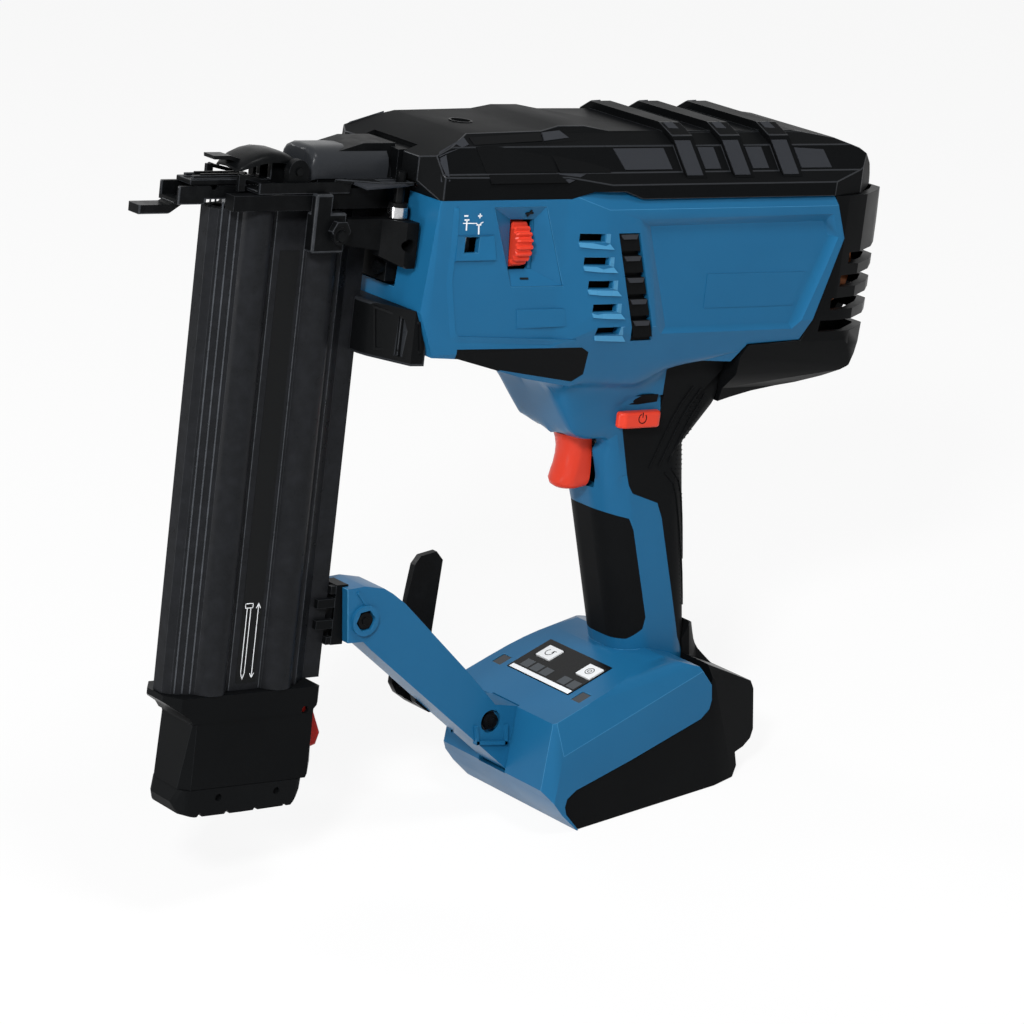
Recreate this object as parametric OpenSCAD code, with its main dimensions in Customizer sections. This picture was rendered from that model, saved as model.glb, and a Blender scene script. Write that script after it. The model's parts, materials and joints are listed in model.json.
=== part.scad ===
// Cordless brad nailer. Millimetres, +Z up, nose towards -X, near side towards -Y.
// The origin is the centre of the foot's resting face. The drive line is tilted to the foot.

/* [Layout] */
// Tilt of the drive line to the foot, nose up
tool_tilt = 9.3; // [9.2:0.1:9.4]
// Height of the drive line above the foot at its reference point
drive_h = 263.6; // [263.2:0.1:264]
// Place of the drive line's reference point along X
drive_x = -24.3; // [-24.6:0.1:-24]

/* [Body] */
// Largest half width of the body
body_hw = 39; // [38.5:0.5:39.5]
// Wall of the moulded shells
wall = 2.6; // [2.2:0.1:2.8]
// Height of the seam under the top cap
seam_z = 2; // [1.8:0.1:2.2]
// Height of the cap's ribs over the drive line
rib_z = 30; // [29.5:0.5:31]
// Number of slots in each row of side vents
vent_count = 5; // [3:1:5]
// Distance between vent slots
vent_pitch = 9.5; // [9.2:0.1:9.7]

/* [Handle and foot] */
// Half width of the handle
grip_hw = 17; // [16.5:0.5:17.5]
// Thickness of the soft grips
grip_t = 2.4; // [2:0.1:2.6]
// Half width of the foot
foot_hw = 38; // [37.5:0.5:38.5]
// Slope of the foot's deck
deck_tilt = 14.6; // [14.4:0.1:14.8]

/* [Magazine] */
// Length of the magazine extrusion
mag_h = 192; // [190:1:193]
// Height of the extrusion's top against the drive line
mag_top = -6; // [-6.5:0.5:-6]
// Length of the brads along the drive line
brad_l = 54; // [50:1:54]
// Height of the loaded strip of brads
strip_h = 96; // [60:4:96]

/* [Drive] */
// Bore radius of the cylinder
bore_r = 21; // [20:0.5:21]
// Radial clearance of the running fits
running = 0.08; // [0.05:0.01:0.1]
// Height of the motor line against the drive line
motor_z = -32; // [-32.5:0.5:-31.5]
// Offset of the gear shaft to the far side of the motor line
shaft_y = 12; // [12:0.5:13]
// Outer radius of the motor
motor_r = 21; // [20:0.5:21]

/* [Hidden] */
$fn = 48;

// ---- frames and shared shapes -------------------------------------------------------------

// Places children given in the drive frame: X along the drive line, Z along the magazine.
module tool() translate([drive_x, 0, drive_h]) rotate([0, tool_tilt, 0]) children();

// Places children on the foot's deck, with the middle of the display at the origin.
module deck() translate([-23, 0, 55.6]) rotate([0, -deck_tilt, 0]) children();

// A side outline, points in X and Z, given a width along Y.
module along_y(half, pts) rotate([90, 0, 0]) linear_extrude(2 * half, center = true) polygon(pts);

// A cross section, points in Y and Z, given a length along X.
module along_x(x0, x1, pts) translate([x0, 0, 0]) rotate([90, 0, 90]) linear_extrude(x1 - x0) polygon(pts);

// A plan outline, points in X and Y, given a height along Z.
module along_z(z0, z1, pts) translate([0, 0, z0]) linear_extrude(z1 - z0) polygon(pts);

// A round bar along X, a round bar along Y, and a box from corner to corner.
module rod_x(x0, x1, r) translate([x0, 0, 0]) rotate([0, 90, 0]) cylinder(h = x1 - x0, r = r);
module rod_y(x, z, y0, y1, r) translate([x, y1, z]) rotate([90, 0, 0]) cylinder(h = y1 - y0, r = r);
module box(a, b) translate(a) cube(b - a);

// The same shape on both sides of the mid plane.
module both_sides() {
    children();
    mirror([0, 1, 0]) children();
}

// The half of a shape on one side of the mid plane: -1 is the near side.
module half(side) intersection() {
    children();
    box([-300, side < 0 ? -90 : 0, -50], [300, side < 0 ? 0 : 90, 400]);
}

// Outline points moved towards a centre by d, for the inside of a shell.
function shrink(pts, c, d) = [for (p = pts) [p[0] - sign(p[0] - c[0]) * d, p[1] - sign(p[1] - c[1]) * d]];

// A half outline closed with its mirror image: across Y in a section, across X in a plan.
function section(pts) = concat(pts, [for (i = [len(pts) - 1 : -1 : 0]) [-pts[i][0], pts[i][1]]]);
function plan(pts) = concat(pts, [for (i = [len(pts) - 1 : -1 : 0]) [pts[i][0], -pts[i][1]]]);

// ---- body shells --------------------------------------------------------------------------

BODY_SIDE = [[-81, seam_z], [-18, seam_z], [-8, seam_z + 3], [7, seam_z + 3], [16, seam_z], [119, seam_z],
    [126.4, -16], [111.4, -59], [84, -60], [79, -68], [52, -69], [38, -78], [-2, -76], [-26, -71.4], [-44, -66.5],
    [-64, -61], [-77, -60], [-84, -42]];
BODY_PLAN = plan([[-84, body_hw - 5], [-80, body_hw - 3.5], [-20, body_hw - 3], [0, body_hw], [118, body_hw],
    [127, body_hw - 0.4]]);
BODY_SECTION = section([[body_hw - 3.7, 14], [body_hw - 3.7, 6], [body_hw, -2], [body_hw, -50], [body_hw - 5, -63],
    [27, -80]]);

// The outer form of the body, moved inwards by d.
module body_form(d) intersection() {
    along_y(50, shrink(BODY_SIDE, [30, -30], d));
    along_z(-90, 30, shrink(BODY_PLAN, [20, 0], d));
    along_x(-100, 140, shrink(BODY_SECTION, [0, -30], d));
}

// The neck between the body and the handle, moved inwards by d.
NECK_SIDE = [[-68, 206], [-62, 196], [-52, 185.6], [-42, 179.4], [-34, 172], [-30, 163], [-25, 158.6], [-9, 158.2],
    [-11, 140], [33, 138], [33.6, 142], [34.8, 147], [38.4, 152.2], [44.2, 157.2], [45.8, 160], [45.8, 205]];
NECK_SECTION = section([[28, 205], [25, 186], [grip_hw + 2, 160], [grip_hw, 140]]);
module neck_form(d) difference() {
    intersection() {
        along_y(40, shrink(NECK_SIDE, [15, 170], d));
        along_x(-60, 60, shrink(NECK_SECTION, [0, 170], d));
        translate([-36 + d, 0, 177]) rotate([0, -28, 0]) rounded_bar(0, 140, 27, 12, -70, 70);
    }
    translate([35, 0, 147.6]) rotate([0, 50, 0]) difference() {
        box([-16, -40, -90], [60, 40, 90]);
        rounded_bar(-40, 0.7 - d, 20 - d, 14 - d, -91, 91);
    }
}

// A rounded plan outline given a height.
module rounded_bar(x0, x1, hw, r, z0, z1) translate([0, 0, z0]) linear_extrude(z1 - z0) union() {
    for (x = [x0 + r, x1 - r], y = [-hw + r, hw - r]) translate([x, y]) circle(r = r);
    translate([x0 + r, -hw]) square([x1 - x0 - 2 * r, 2 * hw]);
    translate([x0, -hw + r]) square([x1 - x0, 2 * hw - 2 * r]);
}

// The handle, moved inwards by d.
HANDLE_SIDE = [[-14.5, 156], [-10.5, 122], [-3.2, 67.6], [-2.5, 48], [37.5, 48], [36.2, 73], [36, 107], [33.6, 127],
    [33.2, 137], [35, 146], [37, 156]];
handle_lean = 7.64;
module handle_form(d) intersection() {
    translate([-9.5, 0, 122]) rotate([0, -handle_lean, 0]) rounded_bar(d, 90, grip_hw - d, 13 - d, -80, 40);
    rounded_bar(-60, 35.7 - d, grip_hw + 0.03 - d, 13 - d, 46, 158);
    along_y(30, shrink(HANDLE_SIDE, [15, 100], d));
}

FOOT_SIDE = [[-52, 48.05], [-59, 20.5], [-56, 16], [-51.2, 8.6], [-43.8, 0], [-43, 0], [-49.2, 8.6], [-49.8, 12],
    [-48.6, 15.3], [-44, 18], [-15, 23.9], [22, 32.6], [26.6, 35.8], [28, 39.8], [28, 46.5], [22, 56],
    [9, 61.3], [-4, 60.55]];
// The front corners are cut back by a plane that leans like the front, the deck's edges by one along the deck.
FOOT_PLAN = plan([[-1.5, foot_hw - 5.73], [8, foot_hw + 2.05], [150, foot_hw + 2.05]]);
FOOT_SECTION = section([[foot_hw - 4.54, 4], [foot_hw + 1, -17.4], [foot_hw + 1, -100]]);
front_lean = 15;
module foot_form(d) intersection() {
    along_y(foot_hw - d, shrink(FOOT_SIDE, [-15, 40], d));
    translate([-59, 0, 22]) rotate([0, front_lean, 0]) along_z(-70, 70, shrink(FOOT_PLAN, [60, 0], d));
    deck() along_x(-90, 90, shrink(FOOT_SECTION, [0, -40], d));
}

// Side vents: leaning rows of slots ahead of the louvres.
module vent_slots() for (i = [0 : vent_count - 1])
    translate([-12.4 + 3.3 * i, 0, -14.9 - vent_pitch * i]) box([0, -50, 0], [11.8, 50, 3.3]);

// The leaning window that the black louvres fill, smaller by d.
LOUVRE_SIDE = [[5.8, -11.5], [16.6, -11.5], [31, -56.2], [20.4, -56.2]];
module louvre_window(d, hw) along_y(hw, shrink(LOUVRE_SIDE, [19, -34], d));

// Where the soft side bumpers lie, below the front of the body.
BUMPER_SIDE = [[-65.4, -56.9], [-3.4, -58.2], [1, -60.4], [3, -70.6], [-1.6, -73.8], [-40, -67], [-52, -68],
    [-65.4, -65]];
module bumper_band(depth) both_sides() intersection() {
    along_y(60, BUMPER_SIDE);
    difference() {
        box([-70, -60, -76], [6, -20, -50]);
        body_form(depth);
    }
}

// Where the soft grips lie on the handle's back and front.
BACK_SIDE = [[-4, 162], [1, 135], [3, 131], [16, 124], [18.2, 117], [23.8, 80], [26.8, 62], [30.4, 54], [34, 48], [60, 46],
    [60, 210], [15, 210], [15, 162]];
FRONT_SIDE = [[-20, 127.4], [-14, 126.4], [1.3, 120.4], [3.4, 115], [9.5, 75], [8, 70], [2, 66], [-20, 65.6]];

// The pocket round the depth wheel, the index window, and the recess of the power button.
module side_pockets() tool() {
    along_y_at(-body_hw - 2, -body_hw + 6.5, [[-55, -0.8], [-29.4, -0.8], [-17.2, -32.8], [-42.6, -32.6]]);
    box([-67.4, -60, -18.8], [-60.4, -30, -12.3]);
}
module power_pocket() tool() box([30.4, -40, -97.4], [54.4, -20.5, -83.5]);

// The sunk field in the panel at the back of the body: its corners, the width of its bevel along
// each edge, and the pad behind it that keeps the wall whole.
FIELD = [[32.8, -55.6], [106, -56], [123.2, -15.4], [118.2, -5.4], [15.6, -6]];
FIELD_BEVEL = [4.8, 4, 3.4, 3.6, 6.8];
FIELD_PAD = [[31, -57.6], [108, -58], [125.4, -15], [120, -3], [12, -3]];
field_depth = 3.2;
// The space inside one edge of the field.
module field_edge(i) {
    p = FIELD[i];
    q = FIELD[(i + 1) % 5];
    translate([p[0], -body_hw, p[1]]) rotate([0, -atan2(q[1] - p[1], q[0] - p[0]), 0])
        rotate([atan(FIELD_BEVEL[i] / field_depth), 0, 0]) box([-150, -150, 0], [250, 150, 250]);
}
module sunk_field() intersection() {
    box([0, -body_hw - 3, -70], [140, -body_hw + field_depth, 10]);
    field_edge(0);
    field_edge(1);
    field_edge(2);
    field_edge(3);
    field_edge(4);
}

module housing_solid(side) half(side) difference() {
    union() {
        tool() difference() {
            union() {
                difference() {
                    body_form(0);
                    body_form(wall);
                }
                both_sides() intersection() {
                    body_form(1);
                    along_y_at(-body_hw + 2.2, -body_hw + 5.4, FIELD_PAD);
                }
            }
            box([-78, -32, seam_z - 6], [114, 32, seam_z + 8]);
            box([-100, -15, -36], [-70, 15, 20]);
            vent_slots();
            louvre_window(0, 60);
            bumper_band(1.4);
            rod_x_at(100, 130, 0, motor_z, motor_r + 1);
            box([100, -24, -20], [130, 24, -4]);
            both_sides() sunk_field();
        }
        tool() difference() {
            intersection() {
                body_form(1.45);
                for (p = BODY_SCREWS) rod_y(p[0], p[1], -60, 60, 4);
            }
            both_sides() sunk_field();
        }
        intersection() {
            foot_form(1);
            for (p = FOOT_SCREWS) rod_y(p[0], p[1], -60, 60, 4);
        }
        intersection() {
            handle_form(grip_t);
            for (p = HANDLE_SCREWS) rod_y(p[0], p[1], -60, 60, 4);
        }
        tool() intersection() {
            body_form(1);
            wheel_floor();
        }
        difference() {
            union() {
                difference() {
                    union() {
                        neck_form(0);
                        handle_form(0);
                    }
                    along_y(40, BACK_SIDE);
                    along_y(40, FRONT_SIDE);
                }
                neck_form(grip_t);
                handle_form(grip_t);
            }
            neck_form(grip_t + wall);
            handle_form(grip_t + wall);
            tool() body_form(wall);
        }
        difference() {
            foot_form(0);
            foot_form(wall);
            box([-36, -60, -1], [24, 60, 16]);
        }
    }
    side_pockets();
    power_pocket();
    box([-26, -8, 134.2], [5, 8, 160.2]);
    handle_bores();
    deck() box([-12.2, -21.2, -1.2], [12.2, 21.2, 8]);
    deck() box([-10.4, -20.3, -8], [10.4, 20.3, 8]);
    for (y = [-27.2, 27.2]) deck() box([-13.4, y - 2.9, -6], [-6.6, y + 2.9, 8]);
    box([-70, -9.15, 19.8], [-50.7, 9.15, 52]);
}

// Floor of the pocket round the depth wheel, with the slot that the wheel turns in.
module wheel_floor() difference() {
    along_y_at(-body_hw + 7, -body_hw + 8.6, [[-59, 0], [-25, 0], [-13, -35], [-44, -35]]);
    box([-44, -60, -26.6], [-32.8, 0, -6.4]);
}

// Screw holes through the two halves, opening on the far side.
HANDLE_SCREWS = [[16, 66], [11, 112]];
FOOT_SCREWS = [[-46, 26], [12, 46]];
BODY_SCREWS = [[-70, -8], [-66, -54], [110, -6], [92, -54]];
module screw_bore(p, hw) {
    rod_y(p[0], p[1], -hw + 5, 60, 1.6);
    rod_y(p[0], p[1], hw - 3, 60, 3.1);
}
module handle_bores() {
    for (p = HANDLE_SCREWS) screw_bore(p, 15);
    for (p = FOOT_SCREWS) screw_bore(p, 34);
    tool() for (p = BODY_SCREWS) screw_bore(p, 34);
}

module left_housing() color("#1f5f94") housing_solid(-1);
module right_housing() color("#1f5f94") housing_solid(1);

module housing_screw(p, hw) {
    rod_y(p[0], p[1], hw - 2.9, hw - 0.6, 2.9);
    rod_y(p[0], p[1], -hw + 6, hw - 2, 1.5);
}
module housing_screws() color("#3a3c40") {
    for (p = HANDLE_SCREWS) housing_screw(p, 15);
    for (p = FOOT_SCREWS) housing_screw(p, 34);
    tool() for (p = BODY_SCREWS) housing_screw(p, 34);
}

// ---- top cap and rear cover ---------------------------------------------------------------

CAP_SIDE = [[-86, 17.5], [-64, 26], [-27, 26.8], [-18, 28.6], [-5, 28.6], [7, 26.6], [104, 26.6], [124, 24],
    [135.6, 20.4], [147, 13.4], [154.5, 7], [157.6, seam_z + 0.1], [16, seam_z + 0.1], [7, seam_z + 3.1],
    [-8, seam_z + 3.1],
    [-18, seam_z + 0.1], [-81, seam_z + 0.1], [-86, 8]];
CAP_PLAN = plan([[-86, body_hw - 14], [-80, body_hw - 3.5], [-20, body_hw - 3], [0, body_hw], [118, body_hw],
    [136, 34], [148, 24.5], [158.5, 14.5]]);
CAP_SECTION = section([[22.5, 28.7], [24, 26], [30, 21.8], [34.5, 12], [body_hw, 8], [body_hw, 0]]);
module cap_form(d) intersection() {
    along_y(50, shrink(CAP_SIDE, [30, -20], d));
    along_z(0, 40, shrink(CAP_PLAN, [30, 0], d));
    along_x(-100, 170, shrink(CAP_SECTION, [0, 0], d));
}
// A rib over the cap that leans back as it runs down the sides.
RIB_SECTION = section([[22.5, rib_z], [30, rib_z - 4], [37, 10], [24, 10]]);
rib_lean = 0.31;
module cap_rib(x) intersection() {
    along_x(x - 4, x + 30, RIB_SECTION);
    along_y(40, [[x, rib_z], [x + 10.5, rib_z], [x + 10.5 + rib_lean * 20, rib_z - 20],
        [x + rib_lean * 20, rib_z - 20]]);
}
module top_cap() color("#1d1e20") tool() difference() {
    union() {
        cap_form(0);
        for (x = [33, 58, 84]) cap_rib(x);
    }
    cap_form(wall);
    translate([-49, 0, 20]) cylinder(h = 20, r = 4);
    box([-100, -14.6, -10], [-78.6, 14.6, 20]);
    box([-100, -23, 4.9], [-70, -14, 7.3]);
}

REAR_FRONT = [[119.4, seam_z - 0.2], [126.9, -16], [111.9, -59.4], [84.4, -60.4], [82.2, -66], [86.4, -88.4],
    [92, -86.6]];
REAR_BACK = [[102, -84], [123, -80.6], [134, -77.4], [144, -72.6], [149.6, -67.8], [154, -60.5], [160.6, -50],
    [162.6, -36], [162, -12]];
REAR_SIDE = concat(REAR_FRONT, REAR_BACK, [[158.4, seam_z - 0.2]]);
REAR_PLAN = plan([[80, body_hw - 1], [127, body_hw - 1], [139, 35.4], [152.5, 27], [162, 18], [163, 8]]);
REAR_SECTION = section([[body_hw - 1, 10], [body_hw - 1, -48], [body_hw - 3, -60], [31, -74], [22, -82], [17, -92]]);
module rear_form(d) intersection() {
    along_y(50, d == 0 ? REAR_SIDE : concat([[80, -40], [100, -66]], [for (p = REAR_BACK) [p[0] - d, p[1] + d]],
        [[158.4 - d, seam_z + 5], [80, seam_z + 5]]));
    along_z(-110, 20, shrink(REAR_PLAN, [80, 0], d));
    along_x(60, 170, shrink(REAR_SECTION, [0, -30], d));
}
// Long slots with fins between them, round both rear corners.
module rear_slots() for (i = [0 : 3]) translate([0, 0, -22.4 - 9.5 * i])
    box([132 - 3.9 * i, -60, -5], [170, 60, 0]);
module rear_cover() color("#1b1c1e") tool() difference() {
    rear_form(0);
    rear_form(wall);
    intersection() {
        rear_slots();
        both_sides() box([119, -60, -62], [170, -8, -10]);
    }
}

module side_louvres() color("#161719") tool() both_sides() union() {
    for (i = [0 : 4]) translate([2.9 * i, 0, -8.86 * i])
        along_y_at(-body_hw + 0.4, -body_hw + 6, [[6.4, -12], [16, -12], [18.2, -18.8], [8.7, -18.8]]);
    along_y_at(-body_hw + 2.8, -body_hw + 5, [[6.2, -11.8], [16.3, -11.8], [30.5, -55.9], [20.6, -55.9]]);
}
module along_y_at(y0, y1, pts) translate([0, (y0 + y1) / 2, 0]) along_y((y1 - y0) / 2, pts);

module side_bumpers() color("#151618") tool() both_sides() intersection() {
    along_y(60, BUMPER_SIDE);
    difference() {
        body_form(0);
        body_form(1.4);
    }
    box([-70, -60, -76], [6, -20, -50]);
}

// ---- grips --------------------------------------------------------------------------------

module front_grip() color("#161718") difference() {
    intersection() {
        handle_form(0);
        along_y(40, FRONT_SIDE);
    }
    handle_form(grip_t - 0.05);
}
module back_grip() color("#17181a") difference() {
    intersection() {
        union() {
            neck_form(0);
            handle_form(0);
        }
        along_y(40, BACK_SIDE);
    }
    neck_form(grip_t - 0.05);
    handle_form(grip_t - 0.05);
    tool() body_form(0);
    power_pocket();
    foot_form(-0.05);
    box([20, -40, 40], [60, 40, 54]);
}

// ---- trigger and power button -------------------------------------------------------------

TRIGGER_SIDE = [[-22.8, 157.8], [-20.8, 151], [-22.6, 144], [-25.8, 138.5], [-24.5, 135.6], [-20, 134.8],
    [-13.5, 135.4], [-11.2, 139], [-10.2, 154], [-11, 157.8]];
module trigger() color("#d8412c") difference() {
    union() {
        along_y(7.6, TRIGGER_SIDE);
        box([-15, -6, 140], [2, 6, 156]);
    }
    rod_x_at(-8, 4, 0, 148, 3.6);
}
module rod_x_at(x0, x1, y, z, r) translate([0, y, z]) rod_x(x0, x1, r);

module trigger_spring() color("#9a9ca0") translate([0, 0, 148]) rotate([0, 90, 0])
    for (z = [-7.6 : 2 : 6.4]) translate([0, 0, z]) rotate_extrude() translate([2.6, 0]) square([0.7, 0.8]);
module trigger_switch() color("#222326") {
    box([8, -6.5, 138], [26, 6.5, 156.5]);
    rod_x_at(7.4, 8.2, 0, 153.5, 1.6);
}
module power_button() color("#cf3e2a") tool()
    along_z(-96.6, -89.8, [[31.6, -20.6], [31.6, -22.4], [34, -24.4], [51.4, -24.4], [53.2, -22.6], [53.2, -20.6]]);

// ---- depth adjuster -----------------------------------------------------------------------

// Ribbed wheel on a screw along the drive line.
module depth_wheel() color("#d8412c") tool() translate([0, -28, -16.5]) difference() {
    union() {
        rod_x(-43.4, -33.4, 9.2);
        rod_x(-55.8, -26, 2.25);
    }
    for (a = [0 : 18 : 342]) rotate([a, 0, 0]) rod_x_at(-45, -31, 9.55, 0, 0.85);
}
module depth_indicator() color("#e8e8e6") tool() {
    box([-65.6, -31.6, -18.6], [-62.4, -29.4, -12.5]);
    box([-67.2, -29.4, -18.6], [-60.6, -24, -12.5]);
}

// ---- foot ---------------------------------------------------------------------------------

DOCK_SIDE = [[-49.4, 12], [-48.9, 8.8], [-42.7, 0], [41.6, 0], [44.4, 4.5], [43.6, 10.8], [48, 11.6], [53.8, 14.4],
    [55.2, 17], [55.4, 36.5], [53.8, 40.2], [30, 53.8], [28.4, 46.5], [28.4, 39.7], [26.8, 35.4], [22.2, 32.1],
    [-15, 23.4], [-43.9, 17.5], [-48.3, 14.9]];
DOCK_PLAN = plan([[-60, foot_hw - 0.5], [30, foot_hw - 0.5], [56, foot_hw - 5.8]]);
DOCK_SECTION = section([[foot_hw - 8, 3], [foot_hw + 1, -6], [foot_hw + 1, -120]]);
// Heel that joins the back of the handle to the top of the dock.
HEEL_SIDE = [[30, 46], [30, 60], [35, 66.5], [36.6, 65.5], [37.4, 62], [39.2, 57], [42.8, 50.6], [48.8, 43.8],
    [52, 40.4], [44, 38]];
HEEL_PLAN = plan([[20, 15.5], [34, 15.5], [41, 11], [56, 11]]);
// The battery slot: a wide channel over two rails, open at the back.
module battery_dock() color("#1b1c1e") difference() {
    union() {
        intersection() {
            along_y(50, DOCK_SIDE);
            along_z(0, 60, DOCK_PLAN);
            translate([30, 0, 53.8]) rotate([0, 29.7, 0]) along_x(-90, 60, DOCK_SECTION);
        }
        intersection() {
            along_y(20, HEEL_SIDE);
            along_z(40, 70, HEEL_PLAN);
        }
    }
    handle_form(-0.1);
    box([-34, -28, 4.5], [60, 28, 13.5]);
    box([-34, -23, -1], [60, 23, 5]);
    box([-38, -30, 16.5], [20, 30, 60]);
    box([19.9, -30, 20], [50, 30, 34]);
}
module dock_terminals() color("#c9a24a") {
    box([-31, -12, 9], [-27, 12, 13.4]);
    for (y = [-9, -3, 3, 9]) box([-27.2, y - 0.5, 9.5], [-14, y + 0.5, 13]);
}
module display_panel() color("#101113") deck() difference() {
    box([-12, -21, -1.1], [12, 21, 0.3]);
    for (y = KEY_Y) box([0, y - 5, -2], [9, y + 5, 2]);
}
KEY_Y = [12.2, -15.2];
module key_tile(y) deck() box([0.4, y - 4.6, -0.9], [8.6, y + 4.6, 0.6]);
module reset_button() color("#e9e9e7") key_tile(KEY_Y[0]);
module mode_button() color("#e9e9e7") key_tile(KEY_Y[1]);
module status_lights() color("#d8dade") for (y = [-27.2, 27.2])
    deck() box([-13.2, y - 2.7, -1.5], [-6.8, y + 2.7, -0.3]);
module controller() color("#2c6b3c") {
    box([-40, -24, 35], [4, 24, 36.6]);
    for (x = [-36, -22, -8]) box([x, -16, 36.6], [x + 9, -6, 41]);
    box([-34, 4, 36.6], [-10, 18, 40]);
}

// ---- arm from the foot to the magazine, and belt hook ---------------------------------------

ARM_SIDE = [[-134.4, 119.2], [-126, 118.6], [-116.6, 115.4], [-112.5, 112.2], [-106.5, 106.4], [-76.8, 70],
    [-63, 51.8], [-51, 48], [-51, 20], [-57, 20.8], [-59.6, 23.4], [-124.1, 91], [-127.8, 95.4], [-135.2, 96.6]];
ARM_POCKET = [[-117, 106], [-108, 99], [-80, 65], [-76, 56], [-80, 51], [-90, 61.5], [-113, 86], [-117, 92]];
BOLTS = [[-127, 104.5], [-65.6, 45]];
HOOK_BOLT = [-81, 57];
module hex_y(p, y0, y1, r) translate([p[0], y1, p[1]]) rotate([90, 0, 0]) cylinder(h = y1 - y0, r = r, $fn = 6);
module magazine_arm() color("#2067a0") difference() {
    union() {
        along_y(9, ARM_SIDE);
        rod_y(BOLTS[0][0], BOLTS[0][1], -10.4, 0, 6.3);
    }
    along_y_at(3, 10, ARM_POCKET);
    for (p = BOLTS) {
        rod_y(p[0], p[1], -20, 20, 3.1);
        hex_y(p, -20, -5, 4.6);
    }
    rod_y(BOLTS[1][0], BOLTS[1][1], -20, -7, 4.9);
    rod_y(HOOK_BOLT[0], HOOK_BOLT[1], 0, 12, 2.1);
    tool() box([-120, -20, -190], [-89, 20, -120]);
    tool() box([-92, -5.2, -184.4], [-82.1, 5.2, -159.2]);
}
module arm_bolts() color("#2b2c2e") for (p = BOLTS) {
    rod_y(p[0], p[1], -8.4, 9.05, 3);
    hex_y(p, -7.8, -5.05, 4.5);
    hex_y(p, 9.02, 12.6, 5.2);
}
// Grip with four fingers each side that holds the back edge of the magazine.
module ladder_clamp() color("#17181a") tool() {
    box([-88, -5, -184.2], [-82.3, 5, -159.4]);
    for (f = [[-90.4, -163, -159.8], [-96.2, -168.6, -165], [-96, -177.3, -173.7], [-90.4, -184, -180.8]])
        both_sides() box([f[0], -4.9, f[1]], [-87, -2.4, f[2]]);
}
HOOK_SIDE = [[-79.3, 107.4], [-76, 110.6], [-68, 110.8], [-65, 106.4], [-71.3, 77.3], [-76, 46], [-84, 48],
    [-90, 53.5], [-92.2, 58.2], [-91.4, 62.8], [-84.1, 91.5]];
module belt_hook() color("#131415") difference() {
    union() {
        along_y_at(23, 26, HOOK_SIDE);
        along_y_at(9.2, 26, [[-90, 53.5], [-84, 48], [-76, 46], [-74.4, 58], [-77, 63.5], [-88, 63.5], [-91.5, 60]]);
    }
    box([-100, 12.4, 50.5], [-60, 22.9, 70]);
    rod_y(HOOK_BOLT[0], HOOK_BOLT[1], 8, 13, 2.1);
}
module hook_screw() color("#2b2c2e") {
    rod_y(HOOK_BOLT[0], HOOK_BOLT[1], 3.4, 12.6, 2);
    rod_y(HOOK_BOLT[0], HOOK_BOLT[1], 12.5, 14.6, 4);
}

// ---- nose ---------------------------------------------------------------------------------

// Cast frame: it holds the drive channel, the top of the magazine and the body's front.
module nose_frame() color("#1a1b1c") tool() difference() {
    union() {
        box([-130, -14, -5], [-84, 14, 3]);
        rod_x_at(-122, -84, 0, 6, 10.6);
        along_y(9, [[-122, 14], [-101, 19.5], [-86, 19.5], [-86, 10], [-122, 10]]);
        both_sides() box([-163, -16, -5], [-120, -10.2, 1]);
        both_sides() rod_y(-133, 9.5, 10.4, 13.6, 4.6);
        both_sides() box([-137.6, 10.4, -2], [-128.4, 13.6, 9.5]);
        box([-88, -14.2, -34], [-79, 14.2, 18]);
        box([-146, -11, -5], [-130, 11, -4.2]);
    }
    box([-170, -3.3, -1.4], [-60, 3.3, 1.4]);
    box([-170, -7.4, -4.2], [-136, 7.4, 6]);
    box([-136.1, -7.4, -4.2], [-124, 7.4, 3.5]);
    box([-145, -10.3, 3.4], [-122.6, 10.3, 30]);
    rod_y(-133, 9.5, -20, 20, 1.6);
    for (y = [-11, 11]) rod_x_at(-95, -70, y, -29, 1.6);
    box([-158, -1, -6], [-102, 1, 0]);
    box([-125, 0, -1.4], [-60, 5, 1.4]);
}
// Clamp plates either side of the magazine's head, with their bolt holes.
module magazine_clamp() color("#191a1b") tool() difference() {
    union() {
        both_sides() box([-128, -20, -21], [-113, -14.2, -5.4]);
        both_sides() box([-128, -20, -6], [-120, -16.2, 2]);
    }
    rod_y(-117, -12, -30, 30, 2.1);
}
module hanger_arm() color("#1a1b1c") tool() both_sides() difference() {
    union() {
        along_y_at(-19.5, -15, [[-112.6, -8], [-92, -8], [-92, -21], [-100, -20], [-112.6, -18]]);
        along_z(-26, -8, [[-96, -15], [-96, -19.5], [-90, -28], [-84.4, -28], [-84.4, -22], [-90, -15]]);
    }
    rod_y(-88.4, -17, -30, -16, 2.6);
    along_y_at(-40, -10, [[-112, -20], [-100, -20.6], [-88, -26.5], [-100, -30], [-112, -30]]);
}
module lower_bracket() color("#18191a") tool() difference() {
    along_z(-64, -42, plan([[-93.4, 8], [-92.4, 13], [-84.4, 32], [-78, 33]]));
    box([-100, -2.4, -70], [-89.6, 2.4, -40]);
    body_form(-0.2);
    both_sides() along_z(-61, -45, [[-92, -33], [-87.4, -25], [-86, -25], [-86, -40], [-92, -40]]);
}
module nose_bolts() color("#2f3033") tool() {
    for (s = [-1, 1]) {
        rod_y(-117, -12, s < 0 ? -20 : 14.2, s < 0 ? -14.2 : 20, 2);
        translate([-117, s < 0 ? -20 : 23, -12]) rotate([90, 0, 0]) cylinder(h = 3, r = 4.4, $fn = 6);
    }
    for (y = [-11, 11]) {
        rod_x_at(-88, -76, y, -29, 1.5);
        rod_x_at(-90.4, -88, y, -29, 2.8);
    }
}

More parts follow.
